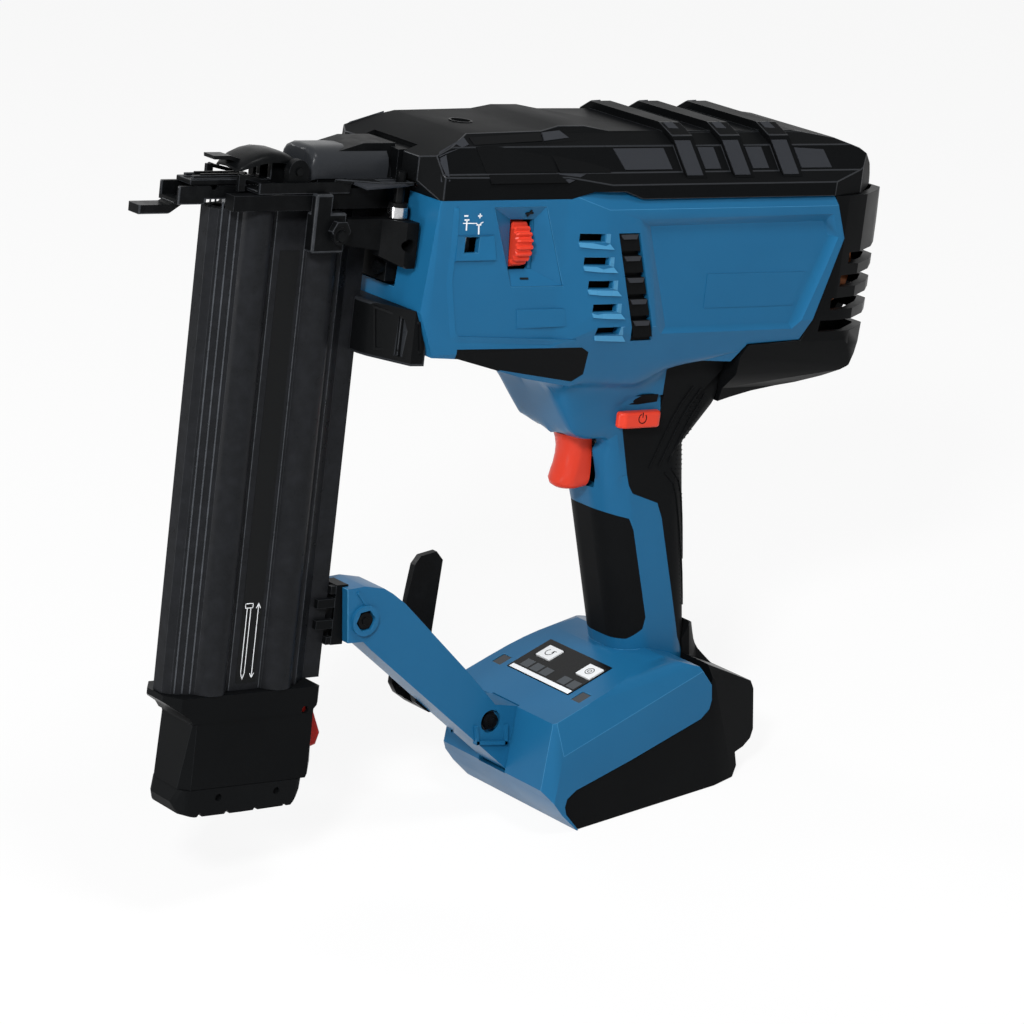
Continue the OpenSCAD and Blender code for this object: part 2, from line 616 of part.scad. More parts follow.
// Contact element: a pad in front of a channel that slides on the nose frame.
module contact_tip() color("#202123") tool() difference() {
    union() {
        box([-197, -4, -8], [-184, 4, -4.4]);
        along_y(4, [[-186, -8], [-184, -8], [-178, -4.2], [-178, -3], [-181, -3], [-186, -5.5]]);
        box([-182, -7, -4], [-147, 7, 3]);
    }
    box([-190, -5.4, -2.2], [-140, 5.4, 4]);
    rod_y(-166, 3, -10, 10, 1.8);
    box([-170, -10, -5], [-140, 10, -2.1]);
}
// Depth link: a flat plate beside the nose that carries the stop to the body.
module contact_link() color("#232427") tool() {
    difference() {
        along_z(5.4, 6.8, [[-117, -14.4], [-85, -14.4], [-85, -22.5], [-100, -22.5]]);
        box([-99.4, -21.2, 5], [-86.6, -16.8, 7]);
    }
    box([-152, -15.9, 1.3], [-110, -14.4, 5.6]);
    box([-152, -15.9, 1.3], [-148, -7, 2.6]);
}
module contact_spring() color("#9a9ca0") tool() for (y = [-5.8, 5.8], x = [-145.6 : 1.6 : -137])
    rod_x_at(x, x + 0.8, y, 0.2, 1.4);
module depth_plunger() color("#b9bbbe") tool() translate([-89, -19, 0]) {
    translate([0, 0, -7.8]) cylinder(h = 6, r = 3.6);
    translate([0, 0, -1.8]) cylinder(h = 12.2, r = 2);
}

// Hinged door over the drive channel and the quick release cover above it.
module nose_door() color("#1e1f21") tool() difference() {
    union() {
        box([-176, -5, 3.2], [-137.2, 5, 5.2]);
        for (y = [-3.4, 1.8]) box([-174, y, 5.1], [-146, y + 1.6, 6.4]);
        both_sides() box([-140, -5, 3.6], [-131, -2.6, 11.6]);
    }
    rod_y(-133, 9.5, -20, 20, 1.6);
}
module release_cover() color("#1b1c1e") tool() difference() {
    union() {
        along_y(9.6, [[-167, 12.2], [-165, 14.6], [-157, 13.4], [-150, 17], [-142, 18.6], [-133, 18.8], [-131, 14],
            [-131, 8], [-135, 6.6], [-139, 8], [-145, 12.4], [-156, 10.6], [-162, 9]]);
    }
    along_y(5.6, [[-148, 0], [-146, 15], [-142, 16.4], [-136, 16.4], [-129, 14], [-129, 0]]);
    rod_y(-133, 9.5, -20, 20, 1.6);
}
module release_bail() color("#8d8f92") tool() both_sides() {
    rod_y(-157, 7.4, -12, -9.9, 1);
    along_y_at(-12, -10.4, [[-158, 7], [-157, 8.2], [-140, 4.4], [-140, 3]]);
    box([-159, -12, 2], [-156, -10.4, 8]);
}
module release_pin() color("#3c3d40") tool() rod_y(-133, 9.5, -14.4, 14.4, 1.5);

// ---- magazine -----------------------------------------------------------------------------

MAG_SECTION = plan([[-165, 3], [-162.5, 5.6], [-153, 8.6], [-106, 8.6], [-102, 5], [-98, 2.2], [-90, 2.2]]);
mag_bottom = mag_top - mag_h;
module magazine_body() color("#141516") tool() difference() {
    union() {
        along_z(mag_bottom, mag_top, MAG_SECTION);
        for (x = [-146, -115], s = [-1, 1]) translate([x, s * 5.2, mag_bottom]) cylinder(h = mag_h, r = 8);
    }
    box([-160.4, -4.2, mag_bottom - 1], [-105, 4.2, mag_top + 1]);
    for (x = [-146, -115], s = [-1, 1]) translate([x, s * 8.8, mag_bottom - 1]) cylinder(h = mag_h + 2, r = 3.5);
    both_sides() box([-136, 5.6, mag_bottom - 1], [-125, 7.4, mag_top + 1]);
    box([-106, -1, mag_bottom - 1], [-93, 1, mag_top + 1]);
}
module slide_rail() color("#8a8c90") tool() difference() {
    box([-160, -3.8, mag_bottom - 2.3], [-105.4, 3.8, mag_top - 1]);
    box([-158, -3, mag_bottom + 6], [-100, 3, mag_top + 1]);
}
module brad_strip() color("#b8a878") tool()
    for (i = [0 : 3]) box([-157 + 0.4 * (i % 2), -0.9, mag_top - strip_h * (i + 1) / 4],
        [-157 + brad_l - 0.6, 0.9, (i == 0 ? -1.15 : mag_top - 0.05) - strip_h * i / 4]);
module follower() color("#3b3d40") tool() {
    box([-157.4, -2.8, mag_top - strip_h - 14], [-106, 2.8, mag_top - strip_h - 1.3]);
}
module follower_spring() color("#9a9ca0") tool() for (i = [0 : 9])
    box([-150, -1.3, mag_bottom + 8 + 6.4 * i], [-112, 1.3, mag_bottom + 9 + 6.4 * i]);

BOOT_SIDE = [[-166, mag_bottom - 0.2], [-96, mag_bottom - 0.2], [-96, mag_bottom - 7], [-98.4, mag_bottom - 9.5],
    [-97.6, -222], [-95.8, -229.6], [-98.7, -236.2], [-157, -236.2], [-154.4, -210], [-157, -206.4],
    [-166, mag_bottom - 2.6]];
PAD_SIDE = [[-156.6, -236.4], [-98.8, -236.4], [-99.6, -241.4], [-104.4, -247], [-128, -247.5], [-150, -247.6],
    [-156, -246.4], [-158.6, -241.8]];
PAD_HOLES = [-139.5, -112];
module magazine_boot() color("#18191b") tool() difference() {
    union() {
        intersection() {
            along_y(12.8, BOOT_SIDE);
            along_z(-209, -190, plan([[-166, 5.6], [-161, 12.5], [-97, 12.5], [-96, 11.5]]));
        }
        intersection() {
            along_y(12.4, BOOT_SIDE);
            along_z(-240, -205, plan([[-158, 7.5], [-153, 12.2], [-98, 12.2], [-95.6, 9.6]]));
        }
    }
    box([-160.3, -4.1, -200.5], [-105.1, 4.1, -190]);
    box([-104.4, -5, -230], [-90, 5, mag_bottom - 7.2]);
    rod_y(-102.4, -207.6, -20, 9.3, 1.58);
    for (x = BOOT_SCREWS) translate([x, 0, -250]) cylinder(h = 34, r = 1.3);
    box([-140, -8, -240], [-122, 8, -214]);
}
BOOT_SCREWS = [-147, -116];
module boot_pad() color("#131415") tool() difference() {
    intersection() {
        along_y(13, PAD_SIDE);
        along_z(-260, -230, plan([[-159, 7.6], [-154, 12.3], [-102, 12.3], [-98, 9.4]]));
    }
    for (x = [-147.6, -134.7, -121.3, -107.4]) along_y(20, [[x, -246], [x - 2.4, -249], [x + 2.4, -249]]);
    for (x = BOOT_SCREWS) translate([x, 0, -260]) cylinder(h = 30, r = 1.3);
    for (x = PAD_HOLES) rod_y(x, -240.4, -20, -10.8, 1.5);
}
module boot_screws() color("#2b2c2e") tool() for (x = BOOT_SCREWS) translate([x, 0, -245]) cylinder(h = 28, r = 1.25);
module boot_latch() color("#a8241c") tool() {
    along_y(4.4, [[-103.6, -205.4], [-99, -205.4], [-92.5, -210], [-87.5, -221], [-89, -226], [-97, -228.6],
        [-99, -222], [-103.2, -211]]);
    rod_y(-102.4, -207.6, -10.6, 9, 1.5);
}

// ---- drive --------------------------------------------------------------------------------

module drive_cylinder() color("#a9acb0") tool() difference() {
    rod_x(-34, 95, bore_r + 2.2);
    rod_x(-30, 96, bore_r);
    rod_x(-36, -29, 5.5);
}
module cylinder_head() color("#8f9296") tool() union() {
    rod_x(95, 103, bore_r + 2.2);
    rod_x(90, 95.5, bore_r - running);
}
module bumper() color("#2a2a2c") tool() difference() {
    rod_x(-30, -16, bore_r - running);
    rod_x(-31, -15, 5.5);
}
// The piston waits at the back of the bore and its seal runs in a groove.
module piston() color("#b4b7ba") tool() difference() {
    rod_x(70, 84, bore_r - running);
    difference() {
        rod_x(75, 79, bore_r + 1);
        rod_x(74, 80, bore_r - 2.5);
    }
    box([69, -3, -1.1], [76, 3, 1.1]);
}
module driver_blade() color("#c2c4c6") tool() {
    box([-102.5, -2.6, -1], [76, 2.6, 1]);
    for (x = [-44 : 9 : 54]) box([x, 2.5, -1], [x + 4, 4.2, 1]);
}

// Places children on the motor line, and on the gear shaft beside it.
module motor() tool() translate([0, 0, motor_z]) children();
module gear_line() motor() translate([0, shaft_y, 0]) children();
module motor_stator() color("#6f4a2a") motor() difference() {
    rod_x(110, 148, motor_r);
    rod_x(109, 149, motor_r - 7.6);
}
// Rotor, shaft, fan and pinion turn as one.
module motor_rotor() color("#77797d") motor() {
    rod_x(111, 147, motor_r - 8.2);
    rod_x(79.2, 152, 2.5);
    rod_x(149, 153, motor_r - 6);
    rod_x(82, 96, 3.1);
}
// Housing of the first pair of gears, below the back of the cylinder.
module gearbox() color("#3a3b3e") difference() {
    union() {
        gear_line() rod_x(76, 104, 10.6);
        motor() rod_x(76, 104, 6.5);
    }
    gear_line() rod_x(79, 101, 9.2);
    motor() rod_x(79, 101, 4.4);
    gear_line() rod_x(70, 80, 5);
    motor() rod_x(100, 106, 3.2);
    tool() rod_x(60, 110, bore_r + 2.4);
}
lifter_x = -52;
// Gear shaft: a wheel at the back, driven by the motor's pinion, and a bevel pinion in front.
module gear_shaft() color("#85878b") gear_line() {
    rod_x(83, 95, 8.6);
    rod_x(-40, 100, 3.8);
    translate([lifter_x + 5, 0, 0]) rotate([0, 90, 0]) cylinder(h = 7.5, r1 = 4.6, r2 = 9);
}
// Upright shaft with the bevel wheel below and the pin wheel beside the blade.
module lifter() color("#8d8f93") tool() translate([lifter_x, shaft_y, 0]) {
    translate([0, 0, motor_z + 6]) cylinder(h = 32, r = 3.5);
    translate([0, 0, motor_z + 5]) cylinder(h = 7.5, r1 = 4.6, r2 = 9);
    for (z = [-5.5, 3.5]) translate([0, 0, z]) cylinder(h = 2, r = 7.5);
    for (a = [0 : 40 : 160]) rotate([0, 0, a]) translate([6.2, 0, -4]) cylinder(h = 8, r = 1.1);
}
module shaft_bearings() color("#b8babd") {
    gear_line() for (x = [-30, 66]) difference() {
        rod_x(x, x + 5, 7);
        rod_x(x - 1, x + 6, 3.8 + running);
    }
    tool() translate([lifter_x, shaft_y, 0]) for (z = [-18.5, -11]) difference() {
        translate([0, 0, z]) cylinder(h = 4.5, r = 8);
        translate([0, 0, z - 1]) cylinder(h = 7, r = 3.5 + running);
    }
}

// ---- output -------------------------------------------------------------------------------

left_housing();
right_housing();
top_cap();
rear_cover();
side_louvres();
side_bumpers();
front_grip();
back_grip();
housing_screws();
trigger();
trigger_spring();
trigger_switch();
power_button();
depth_wheel();
depth_indicator();
battery_dock();
dock_terminals();
display_panel();
reset_button();
mode_button();
status_lights();
controller();
magazine_arm();
arm_bolts();
ladder_clamp();
belt_hook();
hook_screw();
nose_frame();
magazine_clamp();
hanger_arm();
lower_bracket();
nose_bolts();
contact_tip();
contact_link();
contact_spring();
depth_plunger();
nose_door();
release_cover();
release_bail();
release_pin();
magazine_body();
slide_rail();
brad_strip();
follower();
follower_spring();
magazine_boot();
boot_pad();
boot_latch();
boot_screws();
drive_cylinder();
cylinder_head();
bumper();
piston();
driver_blade();
motor_stator();
motor_rotor();
gearbox();
gear_shaft();
lifter();
shaft_bearings();
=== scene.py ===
"""Dresses the cordless brad nailer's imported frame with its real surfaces, edges and small details.

The frame is in metres, +Z up, with the nose towards -X and the tool's left side towards -Y. The drive line is
tilted to the foot, so most of the nose, the body and the magazine are worked out in the drive frame TOOL.
"""

from __future__ import annotations

import json
import logging
import math
from dataclasses import dataclass
from enum import Enum
from typing import Any, Callable, Sequence

import bmesh
import bpy
from bmesh.types import BMEdge, BMesh
from mathutils import Euler, Matrix, Vector
from mathutils.bvhtree import BVHTree

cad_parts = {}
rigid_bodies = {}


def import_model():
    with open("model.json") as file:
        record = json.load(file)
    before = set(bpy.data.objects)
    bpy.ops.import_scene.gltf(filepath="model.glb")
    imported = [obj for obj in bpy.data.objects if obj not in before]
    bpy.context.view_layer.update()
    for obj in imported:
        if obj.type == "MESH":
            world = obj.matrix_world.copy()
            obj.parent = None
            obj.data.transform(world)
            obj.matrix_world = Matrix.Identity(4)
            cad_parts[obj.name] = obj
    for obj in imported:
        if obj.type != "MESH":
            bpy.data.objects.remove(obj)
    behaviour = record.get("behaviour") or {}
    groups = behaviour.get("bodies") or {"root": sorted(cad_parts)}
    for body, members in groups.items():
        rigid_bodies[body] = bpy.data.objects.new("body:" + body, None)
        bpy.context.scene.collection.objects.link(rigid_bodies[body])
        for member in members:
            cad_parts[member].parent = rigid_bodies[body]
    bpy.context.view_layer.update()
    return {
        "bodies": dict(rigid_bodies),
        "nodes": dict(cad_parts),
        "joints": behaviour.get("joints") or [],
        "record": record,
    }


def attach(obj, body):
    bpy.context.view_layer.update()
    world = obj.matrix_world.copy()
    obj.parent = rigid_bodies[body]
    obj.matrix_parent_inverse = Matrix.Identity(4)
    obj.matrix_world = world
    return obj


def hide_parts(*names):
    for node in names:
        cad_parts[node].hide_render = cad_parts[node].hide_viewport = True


LOG = logging.getLogger("brad_nailer")
MM = 0.001

# Roundings narrower than this take the lighter edge finish, a painted highlight.
HIGHLIGHT_WIDTH_MM = 1.3
# Edges that bend by less than this count as part of a flat face.
CREASE_DEG = 6.0
# An edge this close to another shell belongs to a seam and stays tight.
SEAM_REACH_MM = 0.9
# Half the gap along the mid plane where the two housings meet.
MID_PLANE_MM = 0.05
# A settled region's longest edge, and how near it may come to another shell.
RELAX_EDGE_MM = 3.0
RELAX_ROUNDS = 5

Point = tuple[float, float, float]
Spot = tuple[float, float]


# ---- frames --------------------------------------------------------------------------------------------------


@dataclass(frozen=True)
class TiltedFrame:
    """A frame in millimetres that is tilted about Y to the model's."""

    tilt_deg: float
    origin: Point

    def matrix(self) -> Matrix:
        """Works out the way into the model.

        Returns:
            The matrix from this frame's millimetres to model metres.
        """
        place = Matrix.Translation(Vector(self.origin) * MM)
        turn = Matrix.Rotation(math.radians(self.tilt_deg), 4, "Y")
        return place @ turn @ Matrix.Scale(MM, 4)


# X along the drive line towards the back, Z up along the magazine.
TOOL = TiltedFrame(9.3, (-24.3, 0.0, 263.6)).matrix()
# X down the slope of the foot's deck, Z out of it.
DECK = TiltedFrame(-14.6, (-23.0, 0.0, 55.6)).matrix()
MODEL = Matrix.Scale(MM, 4)


# ---- colours and nodes ---------------------------------------------------------------------------------------


def linear(code: str) -> tuple[float, float, float, float]:
    """Turns an sRGB hex colour into a linear one.

    Args:
        code: Six hex digits, with or without a leading hash.

    Returns:
        Linear red, green, blue and an alpha of 1.
    """
    digits = code.lstrip("#")
    parts = [int(digits[i : i + 2], 16) / 255.0 for i in (0, 2, 4)]
    out = [p / 12.92 if p <= 0.04045 else ((p + 0.055) / 1.055) ** 2.4 for p in parts]
    return (out[0], out[1], out[2], 1.0)


def add_node(
    tree: bpy.types.NodeTree,
    kind: str,
    settings: dict[str, Any] | None = None,
    links: dict[str | int, bpy.types.NodeSocket] | None = None,
) -> bpy.types.Node:
    """Adds one node with its settings and incoming links.

    Args:
        tree: The tree that gets the node.
        kind: The node's type name.
        settings: Attribute names, or input names and numbers, with their values.
        links: Input names or numbers, with the output that feeds each.

    Returns:
        The new node.
    """
    node = tree.nodes.new(kind)
    for key, value in (settings or {}).items():
        if isinstance(key, str) and hasattr(node, key):
            setattr(node, key, value)
        else:
            node.inputs[key].default_value = value
    for key, source in (links or {}).items():
        tree.links.new(source, node.inputs[key])
    return node


def per_mm(size_mm: float) -> float:
    """Returns the texture scale whose features are about size_mm across."""
    return 1.0 / (size_mm * MM)


class Shading:
    """A material under way: a Principled shader whose textures follow Object coordinates."""

    def __init__(self, name: str, **inputs: Any) -> None:
        """Makes the bare material.

        Args:
            name: The material's name.
            inputs: Values of the shader's inputs, with underscores for the spaces in their names.
        """
        self.material = bpy.data.materials.new(name)
        self.material.use_nodes = True
        self.tree = self.material.node_tree
        self.tree.nodes.clear()
        values = {key.replace("_", " "): value for key, value in inputs.items()}
        self.shader = add_node(self.tree, "ShaderNodeBsdfPrincipled", values)
        add_node(self.tree, "ShaderNodeOutputMaterial", links={"Surface": self.shader.outputs["BSDF"]})
        self.place = add_node(self.tree, "ShaderNodeTexCoord").outputs["Object"]

    def noise(
        self, size_mm: float, detail: float, roughness: float = 0.5, place: bpy.types.NodeSocket | None = None
    ) -> bpy.types.NodeSocket:
        """Adds a noise texture.

        Args:
            size_mm: How large its features are.
            detail: How many finer layers it has.
            roughness: How strong the finer layers are.
            place: The coordinates, where they aren't the plain ones.

        Returns:
            The noise, from 0 to 1.
        """
        settings = {"Scale": per_mm(size_mm), "Detail": detail, "Roughness": roughness}
        return add_node(self.tree, "ShaderNodeTexNoise", settings, {"Vector": place or self.place}).outputs["Fac"]

    def spread(
        self, source: bpy.types.NodeSocket, span: tuple[float, float], to: tuple[float, float]
    ) -> bpy.types.NodeSocket:
        """Stretches one range of a value over another.

        Args:
            source: The value.
            span: The range that it comes in.
            to: The range that it goes out in.

        Returns:
            The stretched value.
        """
        settings = {"From Min": span[0], "From Max": span[1], "To Min": to[0], "To Max": to[1]}
        return add_node(self.tree, "ShaderNodeMapRange", settings, {"Value": source}).outputs["Result"]

    def tint(self, share: bpy.types.NodeSocket, first: str, second: str) -> None:
        """Mixes two colours into the base colour.

        Args:
            share: The second colour's share.
            first: The first colour.
            second: The second colour.
        """
        settings = {"data_type": "RGBA", 6: linear(first), 7: linear(second)}
        mix = add_node(self.tree, "ShaderNodeMix", settings, {0: share})
        self.tree.links.new(mix.outputs[2], self.shader.inputs["Base Color"])

    def gloss(self, source: bpy.types.NodeSocket, low: float, high: float) -> None:
        """Lets a noise vary the roughness.

        Args:
            source: The noise.
            low: The lowest roughness.
            high: The highest roughness.
        """
        self.tree.links.new(self.spread(source, (0.3, 0.7), (low, high)), self.shader.inputs["Roughness"])

    def bump(self, height: bpy.types.NodeSocket, strength: float, depth_mm: float) -> None:
        """Lets a texture raise the surface.

        Args:
            height: The texture.
            strength: How much of it shows.
            depth_mm: Its depth.
        """
        settings = {"Strength": strength, "Distance": depth_mm * MM}
        bump = add_node(self.tree, "ShaderNodeBump", settings, {"Height": height})
        self.tree.links.new(bump.outputs["Normal"], self.shader.inputs["Normal"])


# ---- finishes ------------------------------------------------------------------------------------------------


@dataclass(frozen=True)
class Moulded:
    """Injection-moulded plastic or elastomer with the grain that the mould's spark-eroded face leaves.

    The grain is a fine even bump, so the eye sees a broad soft highlight. Real grain is 0.05 to 0.1 mm, which is
    drawn several times coarser so that it shows at all.
    """

    name: str
    colour: str
    shade: str
    roughness: float = 0.42
    ior: float = 1.5
    grain_mm: float = 0.45
    grain_depth_mm: float = 0.02
    drift_mm: float = 38.0
    sheen: float = 0.0
    specular: float = 0.1

    def build(self) -> bpy.types.Material:
        """Builds the material.

        Returns:
            The finished material.
        """
        made = Shading(self.name, IOR=self.ior, Sheen_Weight=self.sheen, Specular_IOR_Level=self.specular)
        drift = made.noise(self.drift_mm, 3.0)
        made.tint(drift, self.colour, self.shade)
        made.gloss(drift, self.roughness - 0.05, self.roughness + 0.06)
        made.bump(made.noise(self.grain_mm, 2.0, 0.6), 0.35, self.grain_depth_mm)
        return made.material


@dataclass(frozen=True)
class CoatedMetal:
    """Steel or cast alloy under a thin dark coat: phosphate, black oxide or e-coat, with faint handling marks."""

    name: str
    colour: str
    rubbed: str
    roughness: float = 0.38
    metallic: float = 0.35
    grain_mm: float = 0.7
    grain_depth_mm: float = 0.03
    specular: float = 0.15
    blotch_mm: float = 6.0

    def build(self) -> bpy.types.Material:
        """Builds the material.

        Returns:
            The finished material.
        """
        made = Shading(self.name, Metallic=self.metallic, Specular_IOR_Level=self.specular)
        blotch = made.noise(self.blotch_mm, 5.0, 0.65)
        made.tint(made.spread(blotch, (0.45, 0.75), (0.0, 1.0)), self.colour, self.rubbed)
        made.gloss(blotch, self.roughness - 0.06, self.roughness + 0.1)
        made.bump(made.noise(self.grain_mm, 3.0), 0.4, self.grain_depth_mm)
        return made.material


@dataclass(frozen=True)
class BareMetal:
    """Bare steel, aluminium, brass or plate, with the fine lines that grinding or turning leaves along one axis."""

    name: str
    colour: str
    roughness: float = 0.28
    line_mm: float = 0.35
    stretch: float = 14.0
    depth_mm: float = 0.01

    def build(self) -> bpy.types.Material:
        """Builds the material.

        Returns:
            The finished material.
        """
        made = Shading(self.name, Base_Color=linear(self.colour), Metallic=1.0)
        scale = {"Scale": (1.0 / self.stretch, 1.0, 1.0)}
        along = add_node(made.tree, "ShaderNodeMapping", scale, {"Vector": made.place})
        lines = made.noise(self.line_mm, 3.0, place=along.outputs["Vector"])
        made.gloss(lines, self.roughness - 0.06, self.roughness + 0.08)
        made.bump(lines, 0.3, self.depth_mm)
        return made.material


class Finish(Enum):
    """The finishes of the tool's pieces."""

    # PA6-GF housing, moulded in mid blue: satin, slightly mottled by the glass fibre near the surface.
    BLUE_SHELL = Moulded("moulded_nylon_blue", "#195C84", "#16547B", 0.33, 1.5, 0.5, 0.02, specular=0.14)
    # PA6-GF housing in near black, with the same grain.
    BLACK_SHELL = Moulded("moulded_nylon_black", "#0A0B0C", "#0E0F10", 0.34, 1.5, 0.5, 0.03, specular=0.03)
    # The cap's nylon, from a coarser mould: its grain scatters nearly all of the sky light that grazes it.
    CAP_SHELL = Moulded("grained_nylon_black", "#0B0C0D", "#101112", 0.42, 1.5, 0.6, 0.04, specular=0.014)
    # Painted highlight along the narrow edge roundings of the housings and the black steel: lighter and smoother than
    # the grained faces.
    BLUE_PAINTED_HIGHLIGHT = Moulded("nylon_blue_painted_highlight", "#4182A9", "#3A7AA1", 0.28, 1.5, 0.6, 0.006, specular=0.2)
    BLACK_PAINTED_HIGHLIGHT = Moulded("nylon_black_painted_highlight", "#222427", "#292B2E", 0.28, 1.5, 0.6, 0.006, specular=0.1)
    STEEL_PAINTED_HIGHLIGHT = CoatedMetal("black_oxide_painted_highlight", "#26282B", "#35373A", 0.28, 0.0, 0.7, 0.01, 0.12)
    # Painted sheen: the same nylon drawn lighter, for the facets of the cap.
    BLACK_PAINTED_SHEEN = Moulded("nylon_black_painted_sheen", "#2A2C30", "#303236", 0.36, 1.5, 0.6, 0.01, specular=0.06)
    # Thermoplastic elastomer moulded over the handle: dull, slightly dusty.
    SOFT_GRIP = Moulded("overmoulded_elastomer", "#0C0D0E", "#111213", 0.5, 1.48, 0.8, 0.035, 30.0, 0.0, 0.03)
    # ABS in bright red orange, glossier than the housing.
    RED_PLASTIC = Moulded("moulded_abs_red", "#D23E2B", "#C43421", 0.3, 1.5, 0.6, 0.01, specular=0.16)
    DARK_RED_PLASTIC = Moulded("moulded_abs_dark_red", "#9A1B14", "#86170F", 0.3, 1.5, 0.6, 0.01)
    WHITE_PLASTIC = Moulded("moulded_abs_white", "#DFE1E2", "#D6D8DA", 0.35, 1.5, 0.6, 0.008)
    # Screen-printed marks and the light strip of the display.
    PRINT_WHITE = Moulded("screen_print_white", "#E6E8EA", "#DDDFE2", 0.45, 1.5, 0.6, 0.004)
    PRINT_BLACK = Moulded("screen_print_black", "#0B0C0D", "#101112", 0.45, 1.5, 0.6, 0.004)
    PANEL_BLACK = Moulded("printed_membrane_black", "#08090A", "#0C0D0E", 0.25, 1.5, 0.6, 0.004)
    PANEL_GREY = Moulded("printed_membrane_grey", "#45494D", "#3B3F43", 0.3, 1.5, 0.6, 0.006)
    # Painted shade: near-black plates for the unlit space behind the vents and inside the windows.
    PAINTED_SHADE = Moulded("painted_shade_black", "#050506", "#070708", 0.7, 1.45, 1.0, 0.01, specular=0.1)
    # Extruded aluminium magazine under black anodising: smooth and fairly glossy along its length.
    MAGAZINE = CoatedMetal("black_anodised_extrusion", "#1A1B1D", "#202124", 0.3, 0.0, 0.9, 0.012, 0.04)
    # Painted highlight: the same anodising drawn brighter along the ridges.
    RIDGE_PAINTED_HIGHLIGHT = CoatedMetal("anodised_ridge_painted_highlight", "#3A3D41", "#4A4D52", 0.26, 0.3, 0.9, 0.008, 0.3)
    # Steel stampings of the nose under black oxide.
    BLACK_STEEL = CoatedMetal("black_oxide_steel", "#090A0B", "#111213", 0.3, 0.0, 0.7, 0.02, 0.05)
    # Die-cast nose frame with black e-coat over a slightly rough skin.
    CAST_BLACK = CoatedMetal("coated_die_casting", "#08090A", "#0E0F10", 0.38, 0.0, 0.9, 0.05, 0.04)
    BARE_ALUMINIUM = BareMetal("turned_aluminium", "#B9BBBE", 0.3)
    BARE_STEEL = BareMetal("ground_steel", "#A9ABAE", 0.26)
    PLATED = BareMetal("plated_steel", "#BDBEC0", 0.22, 0.5, 4.0, 0.004)
    BRASS = BareMetal("drawn_brass", "#C9A45A", 0.25)
    BOARD = Moulded("solder_mask_green", "#14502A", "#0F4423", 0.3, 1.5, 0.8, 0.01)
    WINDINGS = CoatedMetal("lacquered_windings", "#6B3A1C", "#8A5228", 0.32, 0.5, 0.8, 0.08)
    LENS = Moulded("smoked_polycarbonate_diffuser", "#3C3F43", "#34373A", 0.18, 1.5, 1.0, 0.004)


_BUILT: dict[Finish, bpy.types.Material] = {}


def finish(choice: Finish) -> bpy.types.Material:
    """Returns the material of a finish, built the first time it is asked for.

    Args:
        choice: The finish.

    Returns:
        The material.
    """
    if choice not in _BUILT:
        _BUILT[choice] = choice.value.build()
    return _BUILT[choice]


# ---- mesh helpers --------------------------------------------------------------------------------------------


def weighted_normals(bm: BMesh, smooth_deg: float) -> list[Vector]:
    """Works out corner normals in which large faces count for more, so that flat panels stay flat.

    Args:
        bm: The mesh.
        smooth_deg: Edges sharper than this part the shading.

    Returns:
        One normal for each corner, in the order of the faces and their loops.
    """
    limit = math.radians(smooth_deg)
    sharp = {e for e in bm.edges if len(e.link_faces) != 2 or e.calc_face_angle(0.0) > limit}
    weight = {f: f.normal * f.calc_area() for f in bm.faces}
    fan_normal: dict[tuple[int, int], Vector] = {}
    for vert in bm.verts:
        left = set(vert.link_faces)
        while left:
            fan, queue = [], [left.pop()]
            while queue:
                face = queue.pop()
                fan.append(face)
                for edge in face.edges:
                    if vert in edge.verts and edge not in sharp:
                        for other in edge.link_faces:
                            if other in left:
                                left.discard(other)
                                queue.append(other)
            total = sum((weight[f] for f in fan), Vector())
            normal = total.normalized() if total.length > 0 else fan[0].normal
            for face in fan:
                fan_normal[(vert.index, face.index)] = normal
    return [fan_normal[(loop.vert.index, face.index)] for face in bm.faces for loop in face.loops]


def settle(
    bm: BMesh,
    name: str,
    material: bpy.types.Material,
    smooth_deg: float = 36.0,
    edge: bpy.types.Material | None = None,
) -> bpy.types.Object:
    """Turns a bmesh in metres into an object at the origin.

    Args:
        bm: The mesh, which is freed.
        name: The object's name.
        material: Its material.
        smooth_deg: Edges sharper than this stay sharp in the shading.
        edge: The material of its narrow edge roundings, a lighter painted highlight, where it has some.

    Returns:
        The new object, linked to the scene.
    """
    bm.verts.index_update()
    bm.faces.index_update()
    bm.normal_update()
    normals = weighted_normals(bm, smooth_deg)
    mesh = bpy.data.meshes.new(name)
    bm.to_mesh(mesh)
    bm.free()
    mesh.shade_smooth()
    mesh.set_sharp_from_angle(angle=math.radians(smooth_deg))
    mesh.normals_split_custom_set(normals)
    mesh.materials.append(material)
    if edge is not None:
        mesh.materials.append(edge)
    obj = bpy.data.objects.new(name, mesh)
    bpy.context.scene.collection.objects.link(obj)
    return obj


@dataclass(frozen=True)
class Rounding:
    """How edges are rounded: the width, the faces across it, the smallest angle, and the height reached."""

    width_mm: float = 0.6
    segments: int = 2
    angle_deg: float = 24.0
    top_mm: float = 1000.0


